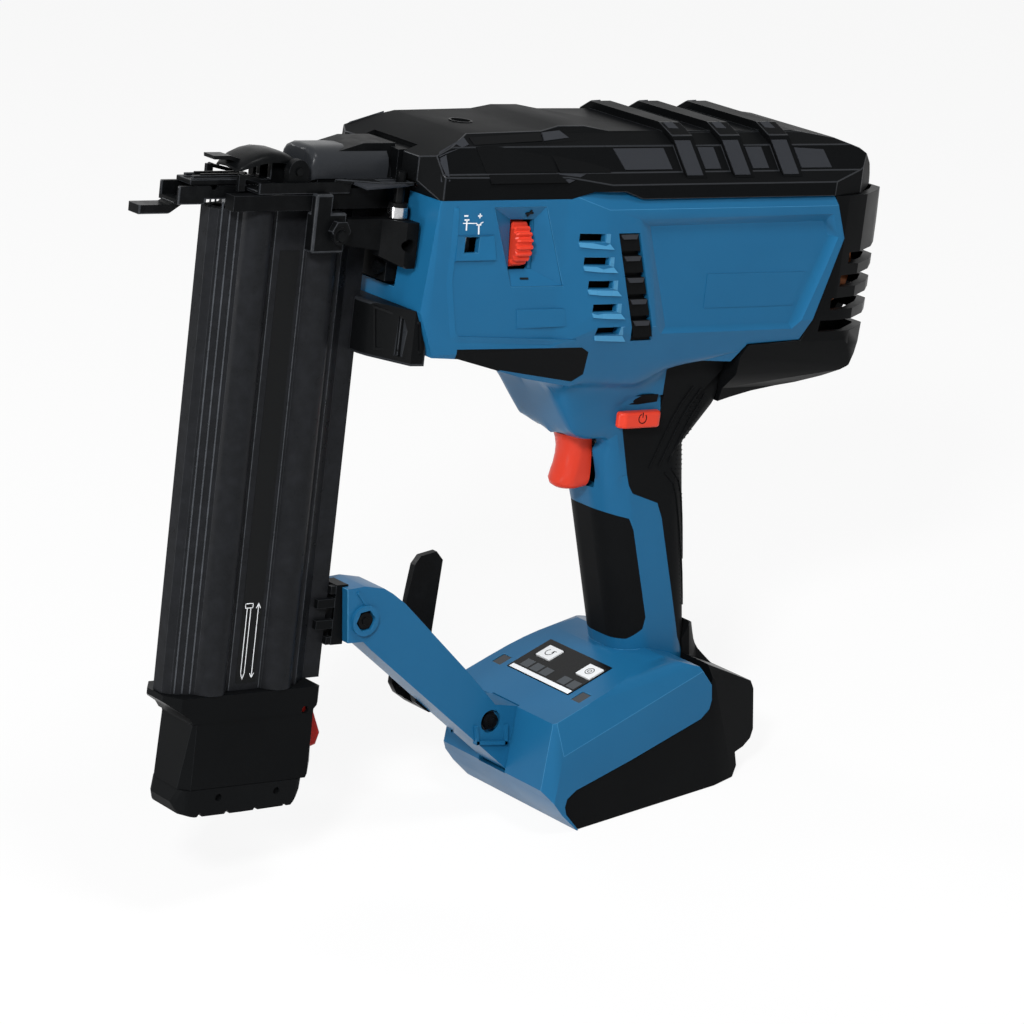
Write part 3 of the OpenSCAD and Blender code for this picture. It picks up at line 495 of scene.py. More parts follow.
def bevel_sharp(
    bm: BMesh,
    rounding: Rounding,
    unit: float = MM,
    spare: Callable[[BMEdge], bool] | None = None,
) -> None:
    """Rounds the edges of a mesh that are sharp enough and have room for it, and leaves earlier roundings alone.

    Args:
        bm: The mesh.
        rounding: The width, faces and angle.
        unit: What a millimetre is in the mesh's own unit.
        spare: Says which edges are left as they are.
    """
    layer = bm.faces.layers.int.get("rounded") or bm.faces.layers.int.new("rounded")
    width = rounding.width_mm * unit
    limit = math.radians(rounding.angle_deg)
    crease = math.radians(CREASE_DEG)

    def sharp(edge: BMEdge, least: float) -> bool:
        """Says whether an edge bends by more than an angle."""
        return len(edge.link_faces) == 2 and edge.calc_face_angle(0.0) > least

    def roomy(edge: BMEdge) -> bool:
        """Says whether the edge, and those that meet it, are long enough for the width.

        Args:
            edge: The edge.

        Returns:
            True where the rounding fits.
        """
        length = edge.calc_length()
        if length < 1.2 * width or any(f.calc_area() < 0.8 * width * length for f in edge.link_faces):
            return False
        around = (o for v in edge.verts for o in v.link_edges if o is not edge and sharp(o, crease))
        return all(o.calc_length() > 1.5 * width for o in around)

    edges = [
        e
        for e in bm.edges
        if sharp(e, limit)
        and max(v.co.z for v in e.verts) < rounding.top_mm * unit
        and not any(f[layer] for f in e.link_faces)
        and roomy(e)
        and not (spare is not None and spare(e))
    ]
    if edges:
        made = bmesh.ops.bevel(
            bm,
            geom=edges,
            offset=width,
            offset_type="OFFSET",
            segments=rounding.segments,
            profile=0.5,
            affect="EDGES",
            clamp_overlap=True,
            material=-1,
        )
        for face in made["faces"]:
            face[layer] = 1
            # Narrow roundings take the second material, the painted highlight along the edges.
            if rounding.width_mm < HIGHLIGHT_WIDTH_MM:
                face.material_index = 1


class Axis(Enum):
    """The axis that a plate's thickness runs along."""

    Y = "y"
    Z = "z"

    def at(self, u: float, v: float, w: float) -> Point:
        """Places the outline's two numbers and the height in X, Y and Z."""
        return (u, w, v) if self is Axis.Y else (u, v, w)


def add_loft(bm: BMesh, loops: Sequence[Sequence[Point]], closed: bool = False) -> None:
    """Joins loops of as many points each into one skin.

    Args:
        bm: The mesh that gets the skin.
        loops: The loops, in order.
        closed: Joins the last loop to the first instead of capping both ends.
    """
    rows = [[bm.verts.new(p) for p in loop] for loop in loops]
    count = len(rows[0])
    pairs = list(zip(rows, rows[1:] + (rows[:1] if closed else [])))
    for low, high in pairs:
        for i in range(count):
            j = (i + 1) % count
            bm.faces.new((low[i], low[j], high[j], high[i]))
    if not closed:
        bm.faces.new(rows[0])
        bm.faces.new(rows[-1])
    bmesh.ops.recalc_face_normals(bm, faces=bm.faces)


def add_bar(
    bm: BMesh, start: Point, end: Point, normal: Point, width: float, height: float, lap: float = 0.5
) -> None:
    """Adds a thin straight bar between two points.

    Args:
        bm: The mesh that gets the bar.
        start: One end of its centre line, on the surface.
        end: The other end.
        normal: The way out of the surface.
        width: Its width.
        height: How far it stands in and out of the surface in all.
        lap: How far it runs past each end, as a share of its width.
    """
    a, b = Vector(start), Vector(end)
    along = (b - a).normalized()
    up = (Vector(normal) - along * Vector(normal).dot(along)).normalized()
    side = up.cross(along)
    turn = Matrix((along, side, up)).transposed().to_4x4()
    size = Matrix.Diagonal(((b - a).length + 2 * lap * width, width, height, 1.0))
    bmesh.ops.create_cube(bm, size=1.0, matrix=Matrix.Translation((a + b) / 2) @ turn @ size)


def add_path(
    bm: BMesh, points: Sequence[Point], normal: Point, width: float, height: float, closed: bool = False
) -> None:
    """Adds a chain of bars through the points.

    Args:
        bm: The mesh that is added to.
        points: The corners, in order.
        normal: The way out of the surface.
        width: The width in millimetres.
        height: The height in millimetres, in and out of the surface in all.
        closed: Joins the last point to the first.
    """
    ends = list(points[1:]) + ([points[0]] if closed else [])
    for a, b in zip(points, ends):
        add_bar(bm, a, b, normal, width, height)


def add_disc(
    bm: BMesh, centre: Point, axis: Axis, radius: float, height: float, sides: int = 32, top: float = 1.0
) -> None:
    """Adds a round or many-sided disc round an axis.

    Args:
        bm: The mesh that gets the disc.
        centre: Its middle.
        axis: The axis it stands along.
        radius: Its radius at the low end.
        height: Its height.
        sides: The number of its sides.
        top: Radius at the high end, as a share of the low one's.
    """
    turn = Matrix.Rotation(math.pi / 2, 4, "X") if axis is Axis.Y else Matrix()
    bmesh.ops.create_cone(
        bm,
        cap_ends=True,
        segments=sides,
        radius1=radius,
        radius2=radius * top,
        depth=height,
        matrix=Matrix.Translation(centre) @ turn,
    )


def add_ring(
    bm: BMesh, centre: Point, axis: Axis, radius: float, width: float, height: float, steps: int = 32
) -> None:
    """Adds a flat ring of square section round an axis, spun from its section.

    Args:
        bm: The mesh that gets the ring.
        centre: Its middle.
        axis: The axis it goes round.
        radius: Its mean radius.
        width: Its width in the radial direction.
        height: Its height along the axis.
        steps: The number of steps round it.
    """
    u, w = width / 2, height / 2
    corners = [(radius - u, -w), (radius + u, -w), (radius + u, w), (radius - u, w)]
    middle = Vector(centre)
    verts = [bm.verts.new(middle + Vector(axis.at(r, 0.0, h))) for r, h in corners]
    edges = [bm.edges.new((verts[i], verts[(i + 1) % 4])) for i in range(4)]
    bmesh.ops.spin(
        bm,
        geom=verts + edges,
        cent=middle,
        axis=Vector(axis.at(0.0, 0.0, 1.0)),
        angle=math.tau,
        steps=steps,
        use_merge=True,
    )
    bmesh.ops.recalc_face_normals(bm, faces=bm.faces)


def add_plate(
    bm: BMesh, outline: Sequence[Spot], low: float, high: float, axis: Axis
) -> None:
    """Adds a flat plate: an outline pulled along an axis.

    Args:
        bm: The mesh that gets the plate.
        outline: The outline's points.
        low: Where the plate starts along the axis.
        high: Where it ends.
        axis: The axis of its thickness.
    """
    face = bm.faces.new([bm.verts.new(axis.at(u, v, low)) for u, v in outline])
    grown = bmesh.ops.extrude_face_region(bm, geom=[face])
    top = [g for g in grown["geom"] if isinstance(g, bmesh.types.BMVert)]
    bmesh.ops.translate(bm, verts=top, vec=axis.at(0.0, 0.0, high - low))
    bmesh.ops.recalc_face_normals(bm, faces=bm.faces)


# Shells that lie against each other, whose seams stay tight.
SHELLS = (
    "left_housing",
    "right_housing",
    "top_cap",
    "rear_cover",
    "battery_dock",
    "front_grip",
    "back_grip",
    "side_bumpers",
    "side_louvres",
    "magazine_arm",
    "magazine_boot",
    "boot_pad",
)


class Workshop:
    """Holds the loaded frame and makes the pieces that dress it."""

    def __init__(self, frame: dict[str, Any]) -> None:
        """Keeps the frame.
        """
        self.frame = frame
        self.body_of: dict[str, str] = {}
        for body, nodes in frame["record"]["behaviour"]["bodies"].items():
            for node in nodes:
                self.body_of[node] = body
        self.slot_of = {s["node"]: s["material_slot"] for s in frame["record"]["subparts"]}
        self.shells = {name: self._tree(name) for name in SHELLS}

    def _tree(self, node: str) -> BVHTree:
        """Returns a search tree of a CAD node's faces."""
        mesh = self.frame["nodes"][node].data
        return BVHTree.FromPolygons([v.co for v in mesh.vertices], [tuple(p.vertices) for p in mesh.polygons])

    def paint(self, node: str, choice: Finish) -> None:
        """Gives a CAD node a finish and leaves its shape alone."""
        for slot in self.frame["nodes"][node].material_slots:
            slot.material = finish(choice)

    def _meets_other(self, node: str) -> Callable[[BMEdge], bool]:
        """Returns a test for edges that lie against another shell, which stay tight.

        Args:
            node: The CAD node's name.

        Returns:
            The test.
        """
        trees = [tree for name, tree in self.shells.items() if name != node]

        def meets(edge: BMEdge) -> bool:
            """Says whether another shell is within reach of the edge's middle.

            Args:
                edge: The edge.

            Returns:
                True where it does.
            """
            middle = (edge.verts[0].co + edge.verts[1].co) / 2
            if abs(middle.y) < MID_PLANE_MM * MM:
                return True
            return any(tree.find_nearest(middle, SEAM_REACH_MM * MM)[0] is not None for tree in trees)

        return meets

    def soften(self, node: str, choice: Finish, roundings: Sequence[Rounding]) -> bpy.types.Object:
        """Stands in for a CAD node with a copy of it whose edges are rounded as moulding or tumbling leaves them.

        Args:
            node: The CAD node's name.
            choice: The piece's finish.
            roundings: The roundings, widest first. All but the last leave the edges along the seams alone.

        Returns:
            The new piece, already riding and replacing the node.
        """
        bm = bmesh.new()
        bm.from_mesh(self.frame["nodes"][node].data)
        bmesh.ops.remove_doubles(bm, verts=bm.verts, dist=2e-6)
        bmesh.ops.dissolve_limit(
            bm, angle_limit=math.radians(0.6), verts=bm.verts, edges=bm.edges, use_dissolve_boundaries=False
        )
        meets = self._meets_other(node)
        for region in RELAXED.get(node, ()):
            self._relax(bm, node, *region)
        for rounding in roundings:
            bevel_sharp(bm, rounding, MM, meets if rounding is not roundings[-1] else None)
        # The edge finish is the lighter painted highlight of the piece's finish.
        edge = PAINTED_EDGE_HIGHLIGHTS.get(choice)
        if edge is None:
            for face in bm.faces:
                face.material_index = 0
        piece = settle(bm, node + "_skin", finish(choice), edge=finish(edge) if edge else None)
        self.place(piece, self.body_of[node], self.slot_of[node])
        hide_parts(node)
        return piece

    def _relax(self, bm: BMesh, node: str, low: Point, high: Point, steps: int) -> None:
        """Lets one region settle into flowing curves, as the moulded neck has between its flats.

        Args:
            bm: The mesh, in metres.
            node: The CAD node it comes from.
            low: The region's lowest corner, in millimetres.
            high: Its highest corner.
            steps: How many times its points move towards their neighbours.
        """

        def inside(place: Vector) -> bool:
            """Says whether a place is in the region."""
            return all(a * MM <= p <= b * MM for a, p, b in zip(low, place, high))

        for _ in range(RELAX_ROUNDS):
            bmesh.ops.triangulate(bm, faces=[f for f in bm.faces if inside(f.calc_center_median())])
            long = [
                e
                for e in bm.edges
                if e.calc_length() > RELAX_EDGE_MM * MM and inside((e.verts[0].co + e.verts[1].co) / 2)
            ]
            bmesh.ops.subdivide_edges(bm, edges=long, cuts=1)
        bmesh.ops.triangulate(bm, faces=[f for f in bm.faces if len(f.verts) > 4 and inside(f.calc_center_median())])
        others = [tree for name, tree in self.shells.items() if name != node and not name.endswith("_housing")]
        free = [
            v
            for v in bm.verts
            if inside(v.co)
            and abs(v.co.y) > 0.1 * MM
            and all(tree.find_nearest(v.co, RELAX_EDGE_MM * MM)[0] is None for tree in others)
        ]
        for _ in range(steps):
            bmesh.ops.smooth_vert(bm, verts=free, factor=0.5, use_axis_x=True, use_axis_y=True, use_axis_z=True)

    def add(self, bm: BMesh, name: str, choice: Finish, node: str, frame: Matrix) -> None:
        """Moves a mesh in millimetres from its frame into the model, and lets it ride with a CAD node.

        Args:
            bm: The mesh, which is freed.
            name: The piece's name.
            choice: Its finish.
            node: The CAD node it sits on.
            frame: The matrix from the mesh's millimetres to model metres.
        """
        bmesh.ops.recalc_face_normals(bm, faces=bm.faces)
        bmesh.ops.transform(bm, matrix=frame, verts=bm.verts)
        self.place(settle(bm, name, finish(choice)), self.body_of[node], self.slot_of[node])

    def place(self, piece: bpy.types.Object, body: str, slot: str) -> None:
        """Lets a piece ride on a body.

        Args:
            piece: The piece.
            body: The body it rides on.
            slot: The name of its material slot. Not used.
        """
        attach(piece, body)
        LOG.info("%s rides on %s", piece.name, body)


# ---- laying details on the surfaces ------------------------------------------------------------------------------


class Skin:
    """The near surface of CAD pieces in one frame's millimetres, on which marks and trim are laid."""

    def __init__(self, shop: Workshop, nodes: Sequence[str], frame: Matrix) -> None:
        """Builds the search tree.

        Args:
            shop: The workshop that holds the CAD nodes.
            nodes: The nodes whose surface is wanted.
            frame: The matrix from the frame's millimetres to model metres.
        """
        verts: list[Vector] = []
        faces: list[tuple[int, ...]] = []
        for node in nodes:
            mesh = shop.frame["nodes"][node].data
            faces += [tuple(i + len(verts) for i in face.vertices) for face in mesh.polygons]
            verts += [vert.co.copy() for vert in mesh.vertices]
        self.tree = BVHTree.FromPolygons(verts, faces)
        self.frame = frame
        self.turn = frame.to_3x3() * (1.0 / MM)
        self.back = frame.inverted()

    def cast(self, start: Point, along: Point, lift: float = 0.0) -> tuple[Vector, Vector]:
        """Casts a ray at the surface, which takes the nearest place when it passes the outline.

        Args:
            start: Where the ray starts.
            along: Its direction, of length 1.
            lift: How far the place is raised from the surface.

        Returns:
            The place and the way out of the surface, in the frame's millimetres.
        """
        spot, normal, _, _ = self.tree.ray_cast(self.frame @ Vector(start), self.turn @ Vector(along))
        if spot is None:
            spot, normal, _, _ = self.tree.find_nearest(self.frame @ (Vector(start) + Vector(along) * 60.0))
        out = (self.turn.transposed() @ normal).normalized()
        return self.back @ spot + out * lift, out

    def near(self, x: float, z: float, lift: float = 0.0) -> tuple[Vector, Vector]:
        """Returns the place on the left side at X and Z, and the way out of it."""
        return self.cast((x, -90.0, z), (0.0, 1.0, 0.0), lift)

    def above(self, x: float, y: float, lift: float = 0.0) -> tuple[Vector, Vector]:
        """Returns the place on top at X and Y, and the way out of it."""
        return self.cast((x, y, 90.0), (0.0, 0.0, -1.0), lift)

    def line(self, bm: BMesh, spots: Sequence[Spot], width: float, height: float) -> None:
        """Lays a chain of bars along the left side, half sunk in it.

        Args:
            bm: The mesh that gets the bars.
            spots: X and Z of its corners.
            width: The bars' width.
            height: Their height in all.
        """
        for (x0, z0), (x1, z1) in zip(spots, spots[1:]):
            start, out = self.near(x0, z0)
            end, other = self.near(x1, z1)
            add_bar(bm, tuple(start), tuple(end), tuple(out + other), width, height)

    def plate(
        self, bm: BMesh, spots: Sequence[tuple[float, float, float]], sink: float = 0.6, inset: float = 0.0
    ) -> None:
        """Lays a plate on the left side whose corners stand out by their own amounts, with sloped rims.

        Args:
            bm: The mesh that gets the plate.
            spots: X, Z and lift of each corner.
            sink: How deep its foot lies under the surface.
            inset: How far the top's corners stand in from the foot's, as a share of the way to the middle.
        """
        foot, top = [], []
        middle = sum((self.near(x, z)[0] for x, z, _ in spots), Vector()) / len(spots)
        for x, z, lift in spots:
            place, out = self.near(x, z)
            foot.append(tuple(place - out * sink))
            top.append(tuple(place.lerp(middle, inset) + out * lift))
        add_loft(bm, [foot, top])


def add_ramp(
    bm: BMesh,
    edge: Sequence[tuple[Vector, Vector]],
    outer: Sequence[tuple[Vector, Vector]],
    lift: float,
    closed: bool = False,
) -> None:
    """Adds a rim that stands up steeply along one line and falls away gently to another.

    Args:
        bm: The mesh that gets the rim.
        edge: Places and ways out along the steep edge.
        outer: The same along the line where the rim meets the surface again.
        lift: How high the edge stands.
        closed: Joins the rim's end to its start.
    """
    rows = [
        [tuple(p - n * 0.3), tuple(p + n * lift), tuple(q + m * 0.01), tuple(q - m * 0.3)]
        for (p, n), (q, m) in zip(edge, outer)
    ]
    add_loft(bm, rows, closed)


def add_other_side(bm: BMesh) -> None:
    """Adds the same shapes on the other side of the mid plane.

    Args:
        bm: The mesh that is added to.
    """
    copy = bmesh.ops.duplicate(bm, geom=bm.verts[:] + bm.edges[:] + bm.faces[:])
    bmesh.ops.scale(bm, vec=(1.0, -1.0, 1.0), verts=[g for g in copy["geom"] if isinstance(g, bmesh.types.BMVert)])
    bmesh.ops.reverse_faces(bm, faces=[g for g in copy["geom"] if isinstance(g, bmesh.types.BMFace)])


@dataclass(frozen=True)
class BodyTrim:
    """Trim and marks on the sides of the body, in the drive frame."""

    pocket_outer: tuple[Spot, ...] = ((-54.9, -0.9), (-29.5, -0.9), (-17.4, -32.7), (-42.5, -32.5))
    pocket_inner: tuple[Spot, ...] = ((-44.2, -6.3), (-32.3, -6.5), (-31.0, -26.4), (-42.6, -26.4))
    pocket_top_y: float = -35.7
    wheel_ends: tuple[float, float] = (-42.3, -34.3)
    wheel_centre: tuple[float, float] = (-28.0, -16.5)
    wheel_radius: float = 9.3
    wheel_groove: float = 1.1
    wheel_ribs: int = 20
    pocket_floor_y: float = -32.4
    vent_start: tuple[float, float] = (-12.4, -14.9)
    vent_step: tuple[float, float] = (3.3, -9.5)
    vent_size: tuple[float, float] = (11.8, 3.3)
    vents: int = 5
    louvre_start: tuple[float, float] = (6.6, -12.2)
    louvre_step: tuple[float, float] = (2.9, -8.86)

    def build(self, shop: Workshop) -> None:
        """Builds all pieces.

        Args:
            shop: The workshop.
        """
        skin = Skin(shop, ["left_housing"], TOOL)
        self._pocket(shop)
        self._index(shop, skin)
        self._marks(shop, skin)
        self._panel(shop, skin)
        self._vents(shop, skin)
        self._louvres(shop)
        self._plates(shop, skin)

    def _pocket(self, shop: Workshop) -> None:
        """Four slopes down to the floor round the depth wheel, with its plus and minus, and the wheel.

        Args:
            shop: The workshop that dresses and places the piece.
        """
        bm = bmesh.new()
        for i in range(4):
            j = (i + 1) % 4
            (ax, az), (bx, bz) = self.pocket_outer[i], self.pocket_outer[j]
            (cx, cz), (dx, dz) = self.pocket_inner[j], self.pocket_inner[i]
            top, floor = self.pocket_top_y, self.pocket_floor_y
            add_loft(
                bm,
                [
                    [(ax, top, az), (ax, floor, az), (dx, floor, dz)],
                    [(bx, top, bz), (bx, floor, bz), (cx, floor, cz)],
                ],
            )
        shop.add(bm, "wheel_pocket_slopes", Finish.BLUE_SHELL, "left_housing", TOOL)
        self._wheel(shop)
        bm = bmesh.new()
        upper, lower = (0.0, -0.83, -0.55), (0.0, -0.88, 0.46)
        add_bar(bm, (-38.4, -34.4, -3.7), (-34.8, -34.4, -3.6), upper, 0.7, 0.5, 0.0)
        add_bar(bm, (-36.2, -35.3, -2.3), (-36.9, -33.5, -5.1), upper, 0.7, 0.5, 0.0)
        add_bar(bm, (-37.4, -34.3, -29.7), (-33.4, -34.3, -29.8), lower, 0.8, 0.5, 0.0)
        shop.add(bm, "wheel_pocket_marks", Finish.PRINT_BLACK, "left_housing", TOOL)

    def _wheel(self, shop: Workshop) -> None:
        """The ribbed thumb wheel: a ribbed round pulled along the drive line, with chamfered rims.

        Args:
            shop: The workshop that dresses and places the piece.
        """
        x0, x1 = self.wheel_ends
        y, z = self.wheel_centre
        count = self.wheel_ribs * 4
        loops = []
        for x, share in ((x0, 0.9), (x0 + 0.9, 1.0), (x1 - 0.9, 1.0), (x1, 0.9)):
            ring = []
            for k in range(count):
                turn = math.tau * k / count
                radius = self.wheel_radius * share - (0.0 if k % 4 < 2 else self.wheel_groove)
                ring.append((x, y + radius * math.cos(turn), z + radius * math.sin(turn)))
            loops.append(ring)
        bm = bmesh.new()
        add_loft(bm, loops)
        bmesh.ops.recalc_face_normals(bm, faces=bm.faces)
        bmesh.ops.transform(bm, matrix=TOOL, verts=bm.verts)
        piece = settle(bm, "ribbed_wheel", finish(Finish.RED_PLASTIC), 30.0)
        shop.place(piece, shop.body_of["depth_wheel"], shop.slot_of["depth_wheel"])
        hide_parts("depth_wheel")

    def _index(self, shop: Workshop, skin: Skin) -> None:
        """The wedge-sided frame of the index window, and the white line on the slider behind it.

        Args:
            shop: The workshop that dresses and places the piece.
            skin: The surface that the details lie on.
        """
        inner = ((-67.3, -12.2), (-60.3, -12.2), (-60.3, -18.9), (-67.3, -18.9))
        outer = ((-71.4, -11.6), (-53.9, -11.7), (-51.9, -21.4), (-71.6, -21.4))
        lifts = (0.5, 0.5, 1.0, 1.0)
        bm = bmesh.new()
        rows = []
        for (x, z), (u, w), lift in zip(inner, outer, lifts):
            p, n = skin.near(*self._beside(x, z))
            q, m = skin.near(u, w)
            p = Vector((x, p.y, z))
            rows.append([tuple(p - n * 0.3), tuple(p + n * 0.03), tuple(q + m * lift), tuple(q - m * 0.3)])
        add_loft(bm, rows, closed=True)
        shop.add(bm, "index_window_frame", Finish.BLUE_SHELL, "left_housing", TOOL)
        bm = bmesh.new()
        add_bar(bm, (-64.6, -31.7, -13.0), (-65.0, -31.7, -18.2), (0.0, -1.0, 0.0), 0.9, 0.3, 0.0)
        shop.add(bm, "index_line", Finish.PRINT_WHITE, "depth_indicator", TOOL)

    def _beside(self, x: float, z: float) -> tuple[float, float]:
        """Moves a window corner a little out, so that a ray there meets the side and not the window."""
        return x + math.copysign(0.6, x + 63.8), z + math.copysign(0.6, z + 15.5)

    def _marks(self, shop: Workshop, skin: Skin) -> None:
        """The printed signs for driving depth: minus and plus over two nails at different depths.

        Args:
            shop: The workshop that dresses and places the piece.
            skin: The surface that the details lie on.
        """
        bm = bmesh.new()
        skin.line(bm, [(-68.9, -3.9), (-67.6, -3.9)], 0.55, 0.12)
        skin.line(bm, [(-62.4, -4.0), (-60.9, -4.0)], 0.5, 0.12)
        skin.line(bm, [(-61.65, -3.3), (-61.65, -4.7)], 0.5, 0.12)
        skin.line(bm, [(-68.6, -5.5), (-66.9, -5.5)], 0.55, 0.12)
        skin.line(bm, [(-67.75, -5.5), (-67.5, -9.4)], 0.6, 0.12)
        skin.line(bm, [(-69.3, -6.8), (-62.8, -6.9)], 0.35, 0.1)
        skin.line(bm, [(-60.9, -6.9), (-59.9, -6.5)], 0.35, 0.1)
        skin.line(bm, [(-62.6, -7.5), (-60.9, -7.5)], 0.55, 0.12)
        skin.line(bm, [(-61.75, -7.5), (-61.4, -11.0)], 0.6, 0.12)
        shop.add(bm, "depth_signs", Finish.PRINT_WHITE, "left_housing", TOOL)

    def _panel(self, shop: Workshop, skin: Skin) -> None:
        """The rim round the flat panel at the front of the side.

        Args:
            shop: The workshop that dresses and places the piece.
            skin: The surface that the details lie on.
        """
        edge = ((-72.2, -0.6), (-71.5, -11.6), (-71.7, -29.7), (-67.2, -50.2), (-65.6, -51.6), (-37.4, -53.2))
        outer = ((-74.4, -0.6), (-74.0, -11.6), (-74.2, -30.2), (-69.4, -52.0), (-66.4, -54.0), (-37.4, -55.6))
        edge += ((-8.0, -54.4),)
        outer += ((-8.0, -56.8),)
        bm = bmesh.new()
        add_ramp(bm, [skin.near(x, z) for x, z in edge], [skin.near(x, z) for x, z in outer], 0.42)
        add_other_side(bm)
        shop.add(bm, "side_panel_rims", Finish.BLUE_SHELL, "left_housing", TOOL)

    def _vents(self, shop: Workshop, skin: Skin) -> None:
        """Lips under the vents in the lighter edge blue, a painted highlight, and near-black plates of painted shade
        behind them.

        Args:
            shop: The workshop that dresses and places the piece.
            skin: The surface that the details lie on.
        """
        bm = bmesh.new()
        width, height = self.vent_size
        for i in range(self.vents):
            x = self.vent_start[0] + self.vent_step[0] * i
            z = self.vent_start[1] + self.vent_step[1] * i
            edge = [(x - 0.2, z - 0.1), (x + width * 0.5, z - 0.3), (x + width + 2.6, z - 0.6)]
            outer = [(x + 0.5, z - 2.0), (x + width * 0.5 + 0.6, z - 2.5), (x + width + 4.6, z - 3.0)]
            rows = []
            for (px, pz), (qx, qz) in zip(edge, outer):
                p, n = skin.near(px, pz - 0.2)
                q, m = skin.near(qx, qz)
                rows.append([tuple(p - n * 0.3), tuple(p + n * 0.02), tuple(q + m * 0.8), tuple(q - m * 0.3)])
            add_loft(bm, rows)
            side = [(x + width + 0.1, z + height), (x + width + 0.1, z - 0.1)]
            far = [(x + width + 2.4, z + height), (x + width + 2.6, z - 0.6)]
            add_ramp(
                bm,
                [skin.near(u + 0.2, w, -0.02) for u, w in side],
                [skin.near(u, w, 0.02) for u, w in far],
                0.25,
            )
        add_other_side(bm)
        shop.add(bm, "vent_lips_painted_highlight", Finish.BLUE_PAINTED_HIGHLIGHT, "left_housing", TOOL)
        bm = bmesh.new()
        add_plate(bm, [(-17.0, -8.0), (3.0, -8.0), (17.0, -56.0), (-3.0, -56.0)], -31.8, -31.2, Axis.Y)
        add_other_side(bm)
        shop.add(bm, "vent_painted_shade", Finish.PAINTED_SHADE, "left_housing", TOOL)

    def _louvres(self, shop: Workshop) -> None:
        """Top edges of the black louvres, drawn in the lighter black of painted sheen as a painted highlight.

        Args:
            shop: The workshop that dresses and places the piece.
        """
        bm = bmesh.new()
        for i in range(5):
            x = self.louvre_start[0] + self.louvre_step[0] * i
            z = self.louvre_start[1] + self.louvre_step[1] * i
            rows = []
            for u, shift in ((x + 0.7, 1.2), (x + 9.6, -1.2)):
                rows.append(
                    [
                        (u, -38.0, z + 0.05),
                        (u, -38.7, z + 0.1),
                        (u + shift, -39.5, z - 1.7),
                        (u + shift, -38.0, z - 1.9),
                    ]
                )
            add_loft(bm, rows)
        add_other_side(bm)
        shop.add(bm, "louvre_lips_painted_highlight", Finish.BLACK_PAINTED_SHEEN, "side_louvres", TOOL)

    def _plates(self, shop: Workshop, skin: Skin) -> None:
        """Bare plates where a maker would print a name, and a low step round each.

        Args:
            shop: The workshop that dresses and places the piece.
            skin: The surface that the details lie on.
        """
        bm = bmesh.new()
        skin.plate(bm, [(-38.7, -41.6, 0.22), (-15.4, -41.9, 0.22), (-13.8, -49.0, 0.22), (-37.7, -49.3, 0.22)], 0.6)
        skin.plate(bm, [(57.0, -29.8, 0.22), (110.0, -30.2, 0.22), (104.6, -44.1, 0.22), (57.2, -44.0, 0.22)], 0.6)
        add_other_side(bm)
        shop.add(bm, "bare_name_plates", Finish.BLUE_SHELL, "left_housing", TOOL)


